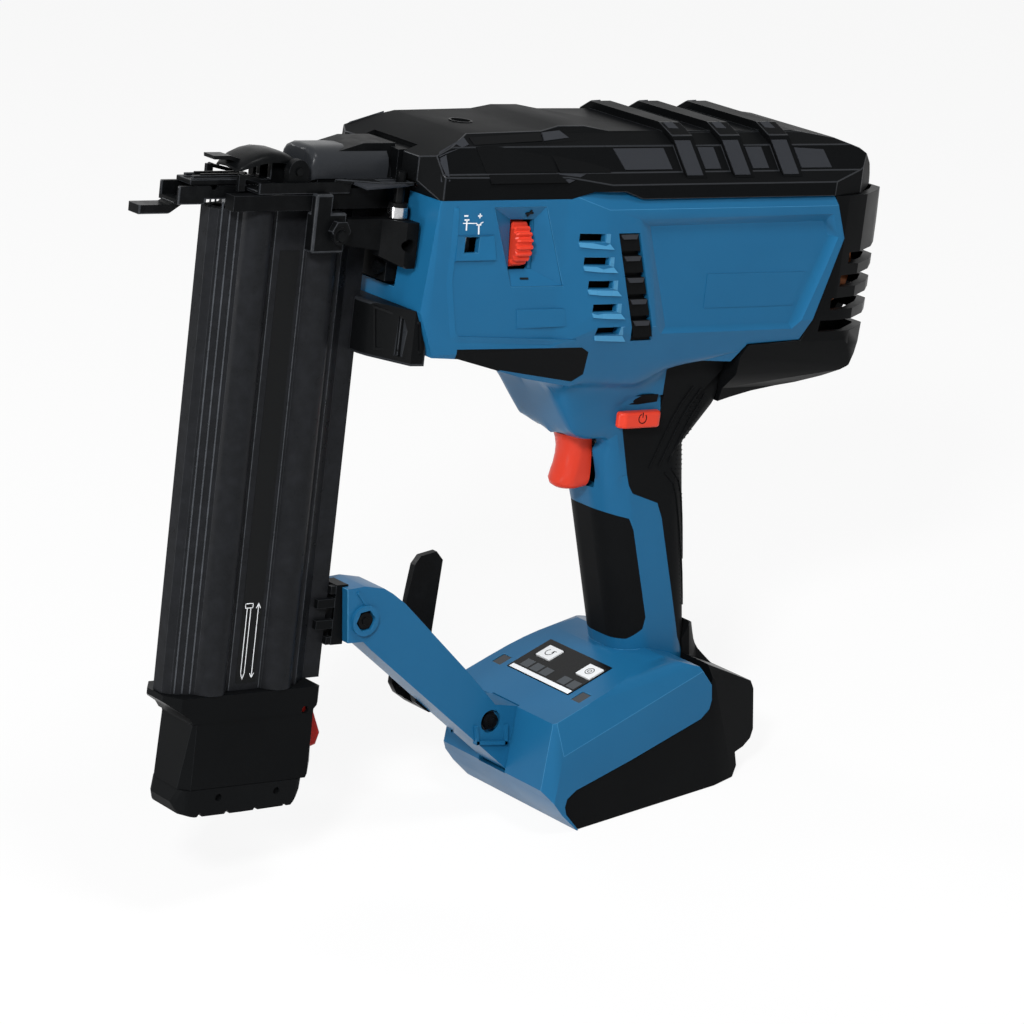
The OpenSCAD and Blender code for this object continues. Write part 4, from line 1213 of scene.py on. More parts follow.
@dataclass(frozen=True)
class CapTrim:
    """Facets and panels on the sides of the top cap, partly in the lighter black of painted sheen, in the drive frame.
    """

    ribs: tuple[float, ...] = (33.0, 58.0, 84.0)

    def build(self, shop: Workshop) -> None:
        """Builds all pieces.

        Args:
            shop: The workshop.
        """
        skin = Skin(shop, ["top_cap"], TOOL)
        self._rib_panels(shop, skin)
        self._front(shop, skin)
        self._screw_well(shop)

    def _rib_panels(self, shop: Workshop, skin: Skin) -> None:
        """Panels on the ribs and between them, and the ribs' knuckles, all in the lighter black of painted sheen.

        Args:
            shop: The workshop that dresses and places the piece.
            skin: The surface that the details lie on.
        """
        bm = bmesh.new()
        for x in self.ribs:
            shift = x - 33.0
            leaning = [(35.0, 24.2), (43.2, 24.2), (47.6, 10.8), (39.3, 10.8)]
            skin.plate(bm, [(u + shift, w, 0.3) for u, w in leaning], 0.5, 0.03)
        between = [
            [(4.2, 21.0), (30.4, 21.0), (33.6, 12.9), (9.0, 12.9)],
            [(47.6, 21.2), (56.2, 21.2), (58.8, 12.9), (50.4, 12.9)],
            [(72.8, 21.2), (81.6, 21.2), (84.2, 12.9), (75.6, 12.9)],
            [(99.0, 20.8), (115.2, 20.0), (118.4, 12.9), (101.6, 12.9)],
        ]
        for corners in between:
            skin.plate(bm, [(u, w, 0.3) for u, w in corners], 0.5, 0.03)
        add_other_side(bm)
        shop.add(bm, "cap_side_panels_painted_sheen", Finish.BLACK_PAINTED_SHEEN, "top_cap", TOOL)
        bm = bmesh.new()
        for x in self.ribs:
            corners = [(x + 1.6, -23.4, 29.6), (x + 6.0, -23.0, 29.9), (x + 9.0, -28.4, 26.0), (x + 3.6, -28.8, 25.6)]
            rows = []
            for lift in (-1.0, 0.35):
                rows.append([(u, v - lift * 0.6, w + lift * 0.8) for u, v, w in corners])
            add_loft(bm, rows)
        add_other_side(bm)
        shop.add(bm, "cap_rib_knuckles_painted_sheen", Finish.BLACK_PAINTED_SHEEN, "top_cap", TOOL)

    def _front(self, shop: Workshop, skin: Skin) -> None:
        """Low facets over the front of the cap's sides, which catch the light at different angles; the bright ones are
        also drawn lighter, a painted sheen.

        Args:
            shop: The workshop that dresses and places the piece.
            skin: The surface that the details lie on.
        """
        bright = [
            [(-80.4, 20.0, 0.5), (-67.0, 24.4, 0.8), (-66.2, 22.4, 0.5), (-78.4, 19.4, 0.2), (-81.4, 18.4, 0.2)],
            [(-81.2, 18.0, 0.4), (-78.2, 19.0, 0.5), (-78.0, 9.8, 0.3), (-80.9, 9.2, 0.3)],
            [(-24.9, 12.0, 0.15), (-11.8, 11.4, 0.5), (-20.5, 8.6, 0.8)],
            [(-27.4, 26.0, 0.9), (-18.4, 26.8, 0.5), (-15.2, 24.4, 0.3), (-28.6, 23.3, 0.6)],
        ]
        dark = [
            [(-64.0, 24.6, 0.3), (-28.2, 26.0, 0.5), (-29.4, 23.3, 0.5), (-63.4, 22.4, 0.2)],
            [(-63.2, 21.8, 0.2), (-29.2, 22.8, 0.5), (-25.4, 12.4, 0.5), (-60.0, 12.4, 0.2)],
            [(-28.2, 22.8, 0.5), (-2.2, 23.8, 0.2), (1.6, 12.0, 0.2), (-24.2, 12.4, 0.6)],
            [(-59.2, 11.6, 0.6), (-25.0, 11.6, 0.5), (-21.0, 8.8, 0.9), (-58.6, 8.8, 1.1)],
        ]
        for name, facets, choice in (
            ("cap_bright_facets", bright, Finish.BLACK_PAINTED_SHEEN),
            ("cap_dark_facets", dark, Finish.BLACK_SHELL),
        ):
            bm = bmesh.new()
            for corners in facets:
                skin.plate(bm, corners, 0.6, 0.0)
            add_other_side(bm)
            shop.add(bm, name, choice, "top_cap", TOOL)

    def _screw_well(self, shop: Workshop) -> None:
        """A turned collar round the screw well on top.

        Args:
            shop: The workshop that dresses and places the piece.
        """
        bm = bmesh.new()
        add_ring(bm, (-49.0, 0.0, 26.35), Axis.Z, 4.4, 0.8, 0.5, 40)
        shop.add(bm, "cap_screw_collar", Finish.BLACK_SHELL, "top_cap", TOOL)


@dataclass(frozen=True)
class GripTrim:
    """Ridges and fine hatching on the soft grips, in the model frame."""

    ridge_width: float = 0.75
    hatch_step: float = 1.9

    def build(self, shop: Workshop) -> None:
        """Builds the ridges, the hatching and the power sign.

        Args:
            shop: The workshop.
        """
        skin = Skin(shop, ["back_grip", "rear_cover"], MODEL)
        bm = bmesh.new()
        lines = [
            [(31.0, 173.0), (26.0, 166.5), (19.0, 154.0), (11.6, 140.4)],
            [(35.6, 171.0), (30.4, 164.4), (23.4, 152.4), (16.6, 140.0)],
            [(38.6, 167.6), (33.6, 160.8), (27.2, 150.4), (21.8, 140.6)],
            [(20.0, 136.4), (24.6, 131.0), (26.6, 124.0), (28.4, 112.0), (31.4, 88.0), (32.6, 74.0)],
            [(23.6, 137.4), (28.0, 131.4), (30.2, 124.0), (31.8, 112.0), (33.6, 94.0)],
        ]
        for spots in lines:
            self._safe_line(skin, bm, spots, self.ridge_width, 0.9)
        add_other_side(bm)
        shop.add(bm, "grip_ridges", Finish.SOFT_GRIP, "back_grip", MODEL)
        bm = bmesh.new()
        z = 75.0
        while z < 168.0:
            x = 31.6 + (z - 75.0) * -0.06 if z < 126.0 else 26.0 + (z - 126.0) * 0.2
            self._safe_line(skin, bm, [(x - 1.8, z + 0.8), (x + 3.4, z - 1.0)], 0.5, 0.5)
            z += self.hatch_step
        add_other_side(bm)
        shop.add(bm, "grip_hatching", Finish.SOFT_GRIP, "back_grip", MODEL)
        self._power_sign(shop)
        self._trigger(shop)

    def _trigger(self, shop: Workshop) -> None:
        """The trigger, lofted from bottom to top, and a near-black plate of painted shade in the power button's
        recess.

        Args:
            shop: The workshop that dresses and places the piece.
        """
        stations = (
            (134.6, -20.5, -14.0, 4.6),
            (135.3, -23.6, -12.6, 6.3),
            (136.6, -25.2, -11.9, 7.1),
            (138.6, -25.6, -11.4, 7.5),
            (141.5, -24.3, -11.0, 7.6),
            (144.5, -22.9, -10.7, 7.6),
            (148.0, -21.8, -10.4, 7.6),
            (151.5, -21.3, -10.2, 7.6),
            (155.0, -21.7, -10.2, 7.6),
            (158.6, -22.8, -10.4, 7.6),
        )
        loops = []
        for z, front, back, half in stations:
            depth = min(6.0, (back - front) * 0.7)
            side = [(back, half * 0.92), (back - 0.6, half)]
            for k in range(7):
                turn = math.radians(15.0 * k)
                side.append((front + depth * (1.0 - math.sin(turn)), half * math.cos(turn)))
            other = [(x, -y) for x, y in reversed(side[:-1])]
            loops.append([(x, y, z) for x, y in side + other])
        bm = bmesh.new()
        add_loft(bm, loops)
        bmesh.ops.transform(bm, matrix=MODEL, verts=bm.verts)
        piece = settle(bm, "trigger_blade", finish(Finish.RED_PLASTIC), 42.0)
        shop.place(piece, shop.body_of["trigger"], shop.slot_of["trigger"])
        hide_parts("trigger")
        skin = Skin(shop, ["left_housing"], TOOL)
        bm = bmesh.new()
        corners = [(31.4, -87.0), (33.4, -84.2), (43.0, -83.0), (51.0, -83.0), (52.0, -86.6), (42.0, -87.4)]
        skin.plate(bm, [(x, z, 0.12) for x, z in corners], 0.6)
        shop.add(bm, "power_button_recess_painted_shade", Finish.PAINTED_SHADE, "left_housing", TOOL)

    def _safe_line(
        self, skin: Skin, bm: BMesh, spots: Sequence[Spot], width: float, height: float
    ) -> None:
        """Lays a line in short steps, and leaves out the steps that fall off the grip.

        Args:
            skin: The surface that the details lie on.
            bm: The mesh that is added to.
            spots: X and Z of the line's corners.
            width: The width in millimetres.
            height: The height in millimetres, in and out of the surface in all.
        """
        for (x0, z0), (x1, z1) in zip(spots, spots[1:]):
            steps = max(1, int(math.hypot(x1 - x0, z1 - z0) / 2.5))
            for k in range(steps):
                a, b = k / steps, (k + 1) / steps
                start, out = skin.near(x0 + (x1 - x0) * a, z0 + (z1 - z0) * a)
                end, _ = skin.near(x0 + (x1 - x0) * b, z0 + (z1 - z0) * b)
                if (end - start).length < 5.0 and start.y < -5.0 and out.y < -0.4:
                    add_bar(bm, tuple(start), tuple(end), tuple(out), width, height, 0.15)

    def _power_sign(self, shop: Workshop) -> None:
        """The round on and off sign on the power button.

        Args:
            shop: The workshop that dresses and places the piece.
        """
        skin = Skin(shop, ["power_button"], TOOL)
        place, _ = skin.near(42.4, -92.4)
        bm = bmesh.new()
        spots = []
        for k in range(13):
            turn = math.radians(50.0 + 280.0 * k / 12)
            spots.append((place.x + 2.0 * math.sin(turn), place.y, place.z + 2.0 * math.cos(turn)))
        add_path(bm, spots, (0.0, -1.0, 0.0), 0.42, 0.16)
        add_bar(
            bm, (place.x, place.y, place.z + 0.3), (place.x, place.y, place.z + 2.6), (0.0, -1.0, 0.0), 0.42, 0.16, 0.0
        )
        shop.add(bm, "power_sign", Finish.PRINT_BLACK, "power_button", TOOL)


@dataclass(frozen=True)
class MagazineTrim:
    """Ridges and the bare label strip of the magazine, in the drive frame."""

    top: float = -3.4
    bottom: float = -197.6
    ridges: tuple[float, ...] = (-161.2, -158.2, -155.2)
    fine_ridges: tuple[float, ...] = (-137.6, -123.6, -105.4)

    def build(self, shop: Workshop) -> None:
        """Builds all pieces.

        Args:
            shop: The workshop.
        """
        skin = Skin(shop, ["magazine_body"], TOOL)
        bm = bmesh.new()
        for x in self.ridges:
            self._upright(bm, skin, x, 0.55, 0.5)
        for x in self.fine_ridges:
            self._upright(bm, skin, x, 0.35, 0.3)
        add_other_side(bm)
        # The ridges stand out a little and are drawn in a lighter anodising, a painted highlight.
        shop.add(bm, "magazine_ridges_painted_highlight", Finish.RIDGE_PAINTED_HIGHLIGHT, "magazine_body", TOOL)
        self._label(shop, skin)

    def _upright(self, bm: BMesh, skin: Skin, x: float, width: float, height: float) -> None:
        """Adds one ridge along the extrusion.

        Args:
            bm: The mesh that is added to.
            skin: The surface that the details lie on.
            x: Where the ridge stands along the drive line.
            width: The width in millimetres.
            height: The height in millimetres, in and out of the surface in all.
        """
        low, out = skin.near(x, self.bottom + 4.0)
        high, _ = skin.near(x, self.top - 20.0)
        high.z = self.top
        low.z = self.bottom
        add_bar(bm, tuple(low), tuple(high), tuple(out), width, height, 0.0)

    def _label(self, shop: Workshop, skin: Skin) -> None:
        """The bare black strip between the tubes, with the outline of a brad and the measure of its length.

        Args:
            shop: The workshop that dresses and places the piece.
            skin: The surface that the details lie on.
        """
        x0, x1 = -134.6, -125.4
        place, _ = skin.near(-130.0, -90.0)
        y = place.y
        bm = bmesh.new()
        add_plate(bm, [(x0, -22.0), (x1, -22.0), (x1, -195.0), (x0, -195.0)], y - 0.12, y + 0.2, Axis.Y)
        add_other_side(bm)
        shop.add(bm, "magazine_label", Finish.PRINT_BLACK, "magazine_body", TOOL)
        bm = bmesh.new()
        out = (0.0, -1.0, 0.0)
        face = y - 0.13
        left, right = -132.6, -130.9
        shaft = [(left, face, -164.5), (left, face, -191.0), ((left + right) / 2, face, -193.4), (right, face, -191.0)]
        add_path(bm, shaft + [(right, face, -164.5)], out, 0.3, 0.12)
        add_path(
            bm,
            [(-133.5, face, -162.6), (-130.0, face, -162.6), (-130.0, face, -164.4), (-133.5, face, -164.4)],
            out,
            0.3,
            0.12,
            closed=True,
        )
        add_bar(bm, (-127.4, face, -163.2), (-127.4, face, -192.8), out, 0.3, 0.12)
        for tip, step in ((-162.8, -1.8), (-193.2, 1.8)):
            add_path(bm, [(-128.3, face, tip + step), (-127.4, face, tip), (-126.5, face, tip + step)], out, 0.3, 0.12)
        add_other_side(bm)
        shop.add(bm, "magazine_brad_sign", Finish.PRINT_WHITE, "magazine_body", TOOL)


@dataclass(frozen=True)
class DeckTrim:
    """The printed display on the foot's deck, in the deck frame."""

    face: float = 0.32

    def build(self, shop: Workshop) -> None:
        """Builds all pieces.

        Args:
            shop: The workshop.
        """
        top = self.face
        bm = bmesh.new()
        for y in (14.1, 7.7, 1.3, -11.0, -17.4):
            field = [(-8.4, y - 2.6), (-3.4, y - 2.6), (-3.4, y + 2.6), (-8.4, y + 2.6)]
            add_plate(bm, field, top - 0.05, top + 0.06, Axis.Z)
        shop.add(bm, "display_fields", Finish.PANEL_GREY, "display_panel", DECK)
        bm = bmesh.new()
        add_plate(bm, [(-11.8, -20.6), (-9.4, -20.6), (-9.4, 19.6), (-11.8, 19.6)], top - 0.05, top + 0.08, Axis.Z)
        shop.add(bm, "display_light_strip", Finish.PRINT_WHITE, "display_panel", DECK)
        for node, centre, name in (
            ("reset_button", (4.5, 12.2), "reset_sign"),
            ("mode_button", (4.5, -15.2), "mode_sign"),
        ):
            self._tile_sign(shop, node, centre, name)

    def _tile_sign(self, shop: Workshop, node: str, centre: tuple[float, float], name: str) -> None:
        """The round sign on one white key: an open ring with an arrow head, or a ring round a nail's head.

        Args:
            shop: The workshop that dresses and places the piece.
            node: The CAD node's name.
            centre: The middle of the sign on the deck.
            name: The piece's name.
        """
        skin = Skin(shop, [node], DECK)
        place, _ = skin.above(*centre)
        z = place.z
        bm = bmesh.new()
        up = (0.0, 0.0, 1.0)
        if node == "reset_button":
            spots = []
            for k in range(11):
                turn = math.radians(40.0 + 280.0 * k / 10)
                spots.append((centre[0] + 2.0 * math.cos(turn), centre[1] + 2.0 * math.sin(turn), z))
            add_path(bm, spots, up, 0.35, 0.12)
            tip = spots[-1]
            add_path(bm, [(tip[0] - 1.3, tip[1] - 0.1, z), tip, (tip[0] + 0.2, tip[1] - 1.4, z)], up, 0.35, 0.12)
        else:
            add_ring(bm, (centre[0], centre[1], z), Axis.Z, 2.0, 0.35, 0.12, 24)
            add_ring(bm, (centre[0], centre[1], z), Axis.Z, 0.9, 0.35, 0.12, 16)
        shop.add(bm, name, Finish.PRINT_BLACK, node, DECK)


@dataclass(frozen=True)
class ArmTrim:
    """The bolt seat and stiffeners of the magazine arm, in the model frame."""

    side_y: float = -9.0

    def build(self, shop: Workshop) -> None:
        """Builds all pieces.

        Args:
            shop: The workshop.
        """
        bm = bmesh.new()
        y = self.side_y
        out = (0.0, -1.0, 0.0)
        seat = [(-73.6, y, 44.4), (-73.0, y, 37.6), (-58.6, y, 33.9), (-58.3, y, 41.0)]
        add_path(bm, seat, out, 1.5, 2.6)
        add_bar(bm, (-129.4, y, 116.6), (-126.0, y, 110.9), out, 1.2, 1.2)
        add_other_side(bm)
        shop.add(bm, "arm_bolt_seat", Finish.BLUE_SHELL, "magazine_arm", MODEL)
        bm = bmesh.new()
        for x, z in ((-65.9, 45.3), (-126.9, 104.4)):
            add_disc(bm, (x, y - 0.2, z), Axis.Y, 3.4, 1.0, 32)
            add_disc(bm, (x, y - 0.9, z), Axis.Y, 1.9, 0.8, 6, 0.9)
        shop.add(bm, "arm_bolt_sockets", Finish.BLACK_STEEL, "arm_bolts", MODEL)


@dataclass(frozen=True)
class NoseTrim:
    """Small stampings and bolt heads of the nose, in the drive frame."""

    def build(self, shop: Workshop) -> None:
        """Builds all pieces.

        Args:
            shop: The workshop.
        """
        self._cover(shop)
        self._cowl(shop)
        self._door(shop)
        self._bracket(shop)
        self._clamp(shop)

    def _cover(self, shop: Workshop) -> None:
        """The domed pressing of the jam release, with its thumb tab and arched underside.

        Args:
            shop: The workshop that dresses and places the piece.
        """
        stations = (
            (-157.4, 10.0, 8.2, 6.6),
            (-155.0, 11.8, 9.0, 8.2),
            (-151.6, 14.0, 10.4, 9.2),
            (-147.2, 15.7, 11.7, 9.7),
            (-142.8, 16.5, 12.3, 9.8),
            (-138.0, 16.2, 12.1, 9.8),
            (-134.0, 15.1, 11.0, 9.8),
            (-131.0, 13.6, 9.0, 9.7),
            (-128.8, 11.4, 7.2, 9.4),
        )
        loops = []
        for x, top, low, half in stations:
            rise = top - low
            near = [
                (-half, low),
                (-half, low + rise * 0.35),
                (-half * 0.93, low + rise * 0.68),
                (-half * 0.74, low + rise * 0.88),
                (-half * 0.4, low + rise * 0.98),
                (0.0, top),
            ]
            under = [(half * 0.86, low + 0.1), (half * 0.6, low + rise * 0.45), (0.0, low + rise * 0.6)]
            section = near + [(-y, z) for y, z in reversed(near[:-1])]
            section += under + [(-y, z) for y, z in reversed(under[:-1])]
            loops.append([(x, y, z) for y, z in section])
        bm = bmesh.new()
        add_loft(bm, loops)
        tab = [(-165.4, 12.5), (-165.6, 13.9), (-158.2, 13.9), (-153.4, 12.6), (-153.8, 10.9), (-158.4, 12.4)]
        add_plate(bm, tab, -3.6, 3.6, Axis.Y)
        bmesh.ops.transform(bm, matrix=TOOL, verts=bm.verts)
        piece = settle(bm, "release_cover_dome", finish(Finish.BLACK_STEEL), 50.0)
        shop.place(piece, shop.body_of["release_cover"], shop.slot_of["release_cover"])
        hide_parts("release_cover")

    def _cowl(self, shop: Workshop) -> None:
        """The rounded block over the driver's channel, the guide plate beside it and the plunger's collar.

        Args:
            shop: The workshop that dresses and places the piece.
        """
        near = [(-11.2, 6.2), (-11.6, 11.2), (-10.9, 14.2), (-9.2, 16.3), (-6.4, 17.6), (-3.0, 18.0)]
        section = near + [(-y, z) for y, z in reversed(near)]
        loops = []
        for x, inset in ((-125.4, 1.6), (-124.4, 0.5), (-122.6, 0.0), (-90.0, 0.0)):
            loops.append([(x, y - math.copysign(inset, y), z - inset) for y, z in section])
        bm = bmesh.new()
        add_loft(bm, loops)
        # The cowl is drawn in the lighter edge black, a painted highlight.
        shop.add(bm, "nose_cowl", Finish.BLACK_PAINTED_HIGHLIGHT, "nose_frame", TOOL)
        bm = bmesh.new()
        add_plate(
            bm,
            [(-109.6, -11.0), (-83.0, -11.0), (-80.6, -17.0), (-87.3, -22.4), (-110.6, -27.4)],
            4.9,
            6.2,
            Axis.Z,
        )
        bevel_sharp(bm, Rounding(0.5, 2, 30.0), 1.0)
        # The guide plate is drawn in the lighter black of painted sheen.
        shop.add(bm, "nose_guide_plate", Finish.BLACK_PAINTED_SHEEN, "nose_frame", TOOL)
        bm = bmesh.new()
        add_ring(bm, (-89.0, -19.0, -5.4), Axis.Z, 3.5, 0.9, 4.2, 40)
        shop.add(bm, "plunger_collar", Finish.PLATED, "depth_plunger", TOOL)

    def _door(self, shop: Workshop) -> None:
        """Folded ridges on the nose door.

        Args:
            shop: The workshop that dresses and places the piece.
        """
        bm = bmesh.new()
        skin = Skin(shop, ["nose_door"], TOOL)
        for y in (-2.2, 2.2):
            low, _ = skin.above(-170.0, y)
            high, _ = skin.above(-150.0, y)
            add_bar(bm, tuple(low), tuple(high), (0.0, 0.0, 1.0), 0.8, 1.0, 0.0)
        shop.add(bm, "nose_door_ridges", Finish.BLACK_STEEL, "nose_door", TOOL)

    def _bracket(self, shop: Workshop) -> None:
        """Raised frame on the bracket below the nose.

        Args:
            shop: The workshop that dresses and places the piece.
        """
        skin = Skin(shop, ["lower_bracket"], TOOL)
        bm = bmesh.new()
        corners = [(-91.6, -43.8), (-82.6, -46.4), (-80.8, -58.0), (-90.8, -60.0)]
        for (x0, z0), (x1, z1) in zip(corners, corners[1:] + corners[:1]):
            skin.line(bm, [(x0, z0), (x1, z1)], 0.9, 1.3)
        add_other_side(bm)
        shop.add(bm, "lower_bracket_frame", Finish.BLACK_SHELL, "lower_bracket", TOOL)

    def _clamp(self, shop: Workshop) -> None:
        """Hexagon bolt head and washer on the magazine clamp.

        Args:
            shop: The workshop that dresses and places the piece.
        """
        skin = Skin(shop, ["nose_bolts"], TOOL)
        place, _ = skin.near(-117.3, -13.7)
        bm = bmesh.new()
        add_disc(bm, (-117.3, place.y - 0.5, -13.7), Axis.Y, 2.4, 1.4, 6, 0.92)
        add_ring(bm, (-117.3, place.y + 0.1, -13.7), Axis.Y, 3.0, 1.0, 0.8, 32)
        shop.add(bm, "clamp_bolt_head", Finish.BLACK_STEEL, "nose_bolts", TOOL)


DETAILS: tuple[Any, ...] = (BodyTrim(), CapTrim(), GripTrim(), MagazineTrim(), DeckTrim(), ArmTrim(), NoseTrim())


# ---- the CAD nodes' finishes -----------------------------------------------------------------------------------

PAINTED: dict[Finish, tuple[str, ...]] = {
    Finish.BLACK_SHELL: ("side_louvres", "trigger_switch", "follower"),
    Finish.BLACK_STEEL: ("housing_screws", "hook_screw", "release_pin", "boot_screws", "motor_rotor", "gearbox"),
    Finish.BARE_STEEL: (
        "trigger_spring",
        "contact_spring",
        "brad_strip",
        "follower_spring",
        "driver_blade",
        "gear_shaft",
        "lifter",
    ),
    Finish.PRINT_BLACK: ("depth_indicator",),
    Finish.BRASS: ("dock_terminals",),
    Finish.LENS: ("status_lights",),
    Finish.BOARD: ("controller",),
    Finish.BARE_ALUMINIUM: ("slide_rail", "drive_cylinder", "cylinder_head", "piston"),
    Finish.SOFT_GRIP: ("bumper",),
    Finish.WINDINGS: ("motor_stator",),
    Finish.PLATED: ("shaft_bearings",),
}

# The lighter finish that each finish takes along its narrow edge roundings: a painted highlight.
PAINTED_EDGE_HIGHLIGHTS: dict[Finish, Finish] = {
    Finish.BLUE_SHELL: Finish.BLUE_PAINTED_HIGHLIGHT,
    Finish.BLACK_SHELL: Finish.BLACK_PAINTED_HIGHLIGHT,
    Finish.CAP_SHELL: Finish.BLACK_PAINTED_HIGHLIGHT,
    Finish.BLACK_STEEL: Finish.STEEL_PAINTED_HIGHLIGHT,
    Finish.CAST_BLACK: Finish.STEEL_PAINTED_HIGHLIGHT,
    Finish.MAGAZINE: Finish.STEEL_PAINTED_HIGHLIGHT,
}

# Regions that settle into curves, at the neck: lowest corner, highest corner, steps.
RELAXED: dict[str, tuple[tuple[Point, Point, int], ...]] = {
    "left_housing": (((-80.0, -60.0, 137.0), (16.0, 0.0, 201.0), 26),),
    "right_housing": (((-80.0, 0.0, 137.0), (16.0, 60.0, 201.0), 26),),
}

# The neck and the foot flow into the handle with wide roundings, the body's own edges are crisp.
HANDLE_EDGES = (Rounding(6.5, 5, 9.0, 207.0), Rounding(4.0, 4, 9.0, 207.0))
SHELL_EDGES = (Rounding(2.4, 3, 12.0), Rounding(1.1, 2, 14.0), Rounding(0.45, 2, 14.0))
SOFT_EDGES = (Rounding(1.6, 3, 14.0), Rounding(0.7, 2, 14.0), Rounding(0.3, 2, 18.0))
METAL_EDGES = (Rounding(0.6, 2, 20.0), Rounding(0.25, 2, 20.0))
FINE_EDGES = (Rounding(0.3, 2, 20.0),)
BOOT_EDGES = (Rounding(4.2, 5, 14.0), Rounding(2.2, 4, 14.0), Rounding(0.9, 3, 14.0), Rounding(0.4, 2, 14.0))
ROUND_EDGES = (Rounding(1.8, 4, 14.0), Rounding(0.8, 3, 14.0), Rounding(0.3, 2, 18.0))

SOFTENED: dict[str, tuple[Finish, Sequence[Rounding]]] = {
    "left_housing": (Finish.BLUE_SHELL, HANDLE_EDGES + SHELL_EDGES),
    "right_housing": (Finish.BLUE_SHELL, HANDLE_EDGES + SHELL_EDGES),
    "top_cap": (Finish.CAP_SHELL, (Rounding(0.9, 2, 12.0), Rounding(0.4, 2, 14.0))),
    "rear_cover": (Finish.BLACK_SHELL, SHELL_EDGES),
    "side_bumpers": (Finish.SOFT_GRIP, SOFT_EDGES),
    "front_grip": (Finish.SOFT_GRIP, SOFT_EDGES),
    "back_grip": (Finish.SOFT_GRIP, SOFT_EDGES),
    "power_button": (Finish.RED_PLASTIC, (Rounding(1.2, 4, 14.0), Rounding(0.4, 2, 14.0))),
    "battery_dock": (Finish.BLACK_SHELL, SHELL_EDGES),
    "display_panel": (Finish.PANEL_BLACK, (Rounding(0.2, 2, 24.0),)),
    "reset_button": (Finish.WHITE_PLASTIC, (Rounding(0.2, 2, 24.0),)),
    "mode_button": (Finish.WHITE_PLASTIC, (Rounding(0.2, 2, 24.0),)),
    "magazine_arm": (Finish.BLUE_SHELL, (Rounding(2.6, 4, 14.0), Rounding(1.0, 3, 14.0), Rounding(0.4, 2, 14.0))),
    "arm_bolts": (Finish.BLACK_STEEL, FINE_EDGES),
    "ladder_clamp": (Finish.BLACK_SHELL, METAL_EDGES),
    "belt_hook": (Finish.BLACK_STEEL, (Rounding(2.6, 4, 24.0), Rounding(0.9, 3, 14.0), Rounding(0.3, 2, 18.0))),
    "nose_frame": (Finish.CAST_BLACK, METAL_EDGES),
    "magazine_clamp": (Finish.CAST_BLACK, (Rounding(1.2, 3, 20.0), Rounding(0.4, 2, 20.0))),
    "hanger_arm": (Finish.CAST_BLACK, (Rounding(1.6, 3, 20.0), Rounding(0.5, 2, 20.0))),
    "lower_bracket": (Finish.BLACK_SHELL, (Rounding(1.2, 3, 20.0), Rounding(0.4, 2, 20.0))),
    "nose_bolts": (Finish.BLACK_STEEL, FINE_EDGES),
    "contact_tip": (Finish.BLACK_STEEL, METAL_EDGES),
    "contact_link": (Finish.BLACK_STEEL, METAL_EDGES),
    "depth_plunger": (Finish.BLACK_STEEL, FINE_EDGES),
    "nose_door": (Finish.BLACK_STEEL, FINE_EDGES),
    "release_bail": (Finish.BLACK_STEEL, (Rounding(0.1, 2, 24.0),)),
    "magazine_body": (Finish.MAGAZINE, (Rounding(0.4, 2, 24.0),)),
    "magazine_boot": (Finish.BLACK_SHELL, BOOT_EDGES),
    "boot_pad": (Finish.SOFT_GRIP, ROUND_EDGES),
    "boot_latch": (Finish.DARK_RED_PLASTIC, SOFT_EDGES),
}


# ---- studio ----------------------------------------------------------------------------------------------------


@dataclass(frozen=True)
class Lamp:
    """A soft square lamp that points at the tool."""

    name: str
    place: Point
    size: float
    power: float


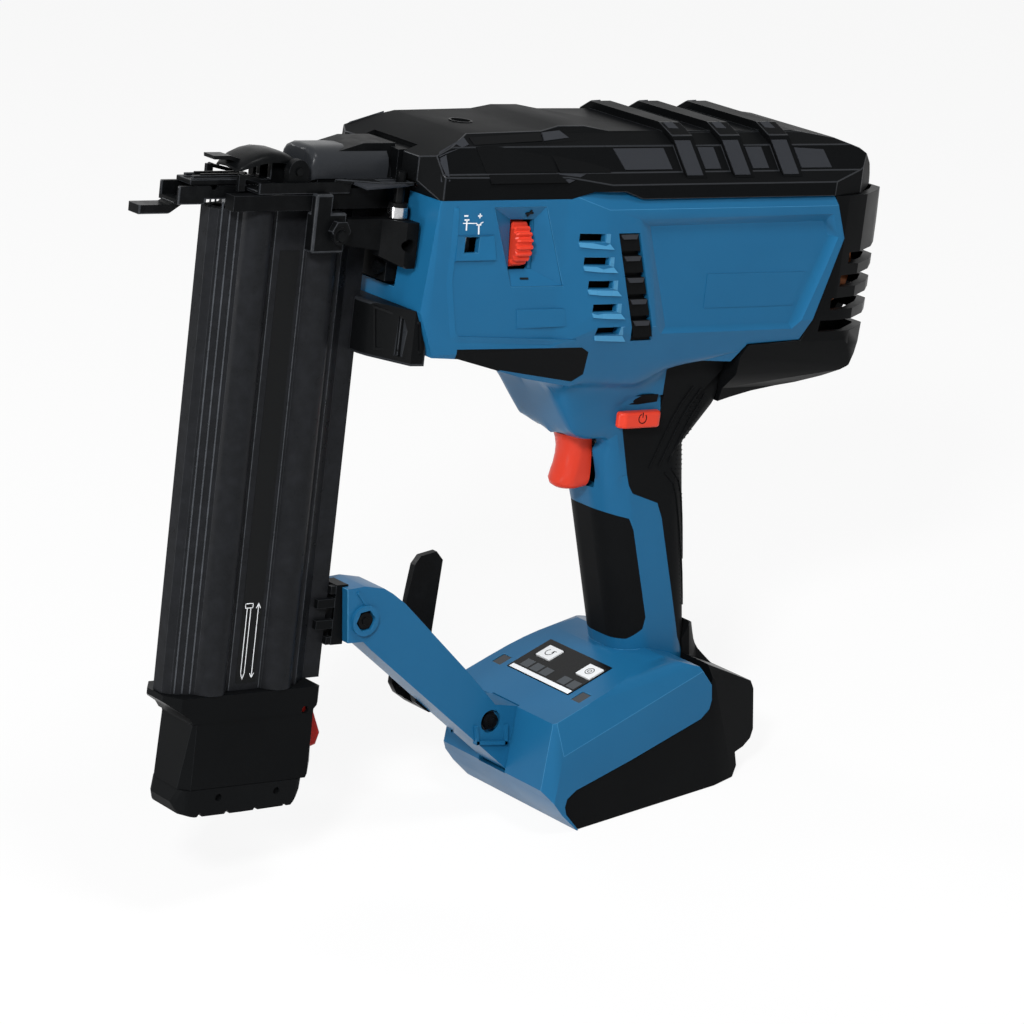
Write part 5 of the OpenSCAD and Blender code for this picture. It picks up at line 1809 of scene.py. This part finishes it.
@dataclass(frozen=True)
class Studio:
    """Pale floor, white surround, soft lamps and the camera."""

    camera_place: Point = (-1.0254, -1.3225, 0.7192)
    camera_turn_deg: Point = (70.28, 0.846, -36.817)
    lens_mm: float = 150.57
    aim: Point = (-0.04, 0.0, 0.16)
    lamps: tuple[Lamp, ...] = (
        Lamp("key_lamp", (-1.1, -0.95, 1.15), 0.25, 25.0),
        Lamp("top_lamp", (0.0, -0.55, 1.35), 0.3, 8.0),
        Lamp("front_lamp", (-1.5, -0.1, 0.25), 0.3, 5.0),
        Lamp("back_lamp", (-0.6, 1.2, 0.9), 0.4, 6.0),
    )
    surround: float = 0.16

    def build(self) -> None:
        """Adds the camera, lamps, world and floor."""
        scene = bpy.context.scene
        scene.view_settings.view_transform = "Standard"
        data = bpy.data.cameras.new("camera")
        data.lens = self.lens_mm
        data.sensor_width = 36.0
        data.clip_start = 0.05
        camera = bpy.data.objects.new("camera", data)
        camera.location = self.camera_place
        camera.rotation_euler = Euler([math.radians(a) for a in self.camera_turn_deg])
        scene.collection.objects.link(camera)
        scene.camera = camera
        for lamp in self.lamps:
            self._add_lamp(lamp)
        self._add_world()
        self._add_floor()

    def _add_lamp(self, lamp: Lamp) -> None:
        """Adds one area lamp that points at the aim.

        Args:
            lamp: What the lamp is like.
        """
        data = bpy.data.lights.new(lamp.name, "AREA")
        data.size = lamp.size
        data.energy = lamp.power
        obj = bpy.data.objects.new(lamp.name, data)
        obj.location = lamp.place
        direction = Vector(self.aim) - Vector(lamp.place)
        obj.rotation_euler = direction.to_track_quat("-Z", "Y").to_euler()
        bpy.context.scene.collection.objects.link(obj)

    def _seen_directly(self, tree: bpy.types.NodeTree, path: bpy.types.Node) -> bpy.types.Node:
        """Adds the nodes that give 1 to camera, glossy and transmission rays, and 0 to the rest.

        Args:
            tree: The tree that gets the nodes.
            path: The light path node.

        Returns:
            The node whose first output is the answer.
        """
        both = add_node(
            tree,
            "ShaderNodeMath",
            {"operation": "MAXIMUM"},
            {0: path.outputs["Is Camera Ray"], 1: path.outputs["Is Glossy Ray"]},
        )
        return add_node(
            tree,
            "ShaderNodeMath",
            {"operation": "MAXIMUM"},
            {0: both.outputs[0], 1: path.outputs["Is Transmission Ray"]},
        )

    def _add_world(self) -> None:
        """Adds a world that is white to the camera and softer as light."""
        world = bpy.data.worlds.new("surround")
        bpy.context.scene.world = world
        world.use_nodes = True
        tree = world.node_tree
        tree.nodes.clear()
        light = add_node(tree, "ShaderNodeBackground", {"Color": (1, 1, 1, 1), "Strength": self.surround})
        white = add_node(tree, "ShaderNodeBackground", {"Color": (1, 1, 1, 1), "Strength": 1.0})
        path = add_node(tree, "ShaderNodeLightPath")
        seen = self._seen_directly(tree, path)
        mix = add_node(
            tree, "ShaderNodeMixShader", links={0: seen.outputs[0], 1: light.outputs[0], 2: white.outputs[0]}
        )
        add_node(tree, "ShaderNodeOutputWorld", links={"Surface": mix.outputs[0]})

    def _add_floor(self) -> None:
        """Adds the pale floor, which keeps a faint shadow."""
        bm = bmesh.new()
        bmesh.ops.create_grid(bm, x_segments=1, y_segments=1, size=6.0)
        bmesh.ops.translate(bm, verts=bm.verts, vec=(0, 0, -0.0002))
        material = bpy.data.materials.new("pale_floor")
        material.use_nodes = True
        tree = material.node_tree
        tree.nodes.clear()
        matt = add_node(tree, "ShaderNodeBsdfDiffuse", {"Color": (0.86, 0.86, 0.86, 1)})
        glow = add_node(tree, "ShaderNodeEmission", {"Color": (1, 1, 1, 1), "Strength": 1.0})
        path = add_node(tree, "ShaderNodeLightPath")
        seen = self._seen_directly(tree, path)
        share = add_node(tree, "ShaderNodeMath", {"operation": "MULTIPLY", 1: 0.9}, {0: seen.outputs[0]})
        mix = add_node(
            tree, "ShaderNodeMixShader", links={0: share.outputs[0], 1: matt.outputs[0], 2: glow.outputs[0]}
        )
        add_node(tree, "ShaderNodeOutputMaterial", links={"Surface": mix.outputs[0]})
        floor = settle(bm, "floor", material)


# ---- main --------------------------------------------------------------------------------------------------------


def main() -> None:
    """Builds the studio and dresses every node."""
    logging.basicConfig(level=logging.INFO, format="%(message)s")
    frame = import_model()
    Studio().build()
    shop = Workshop(frame)
    for choice, nodes in PAINTED.items():
        for node in nodes:
            shop.paint(node, choice)
    for node, (choice, roundings) in SOFTENED.items():
        shop.soften(node, choice, roundings)
    for detail in DETAILS:
        detail.build(shop)


if __name__ == "__main__":
    main()
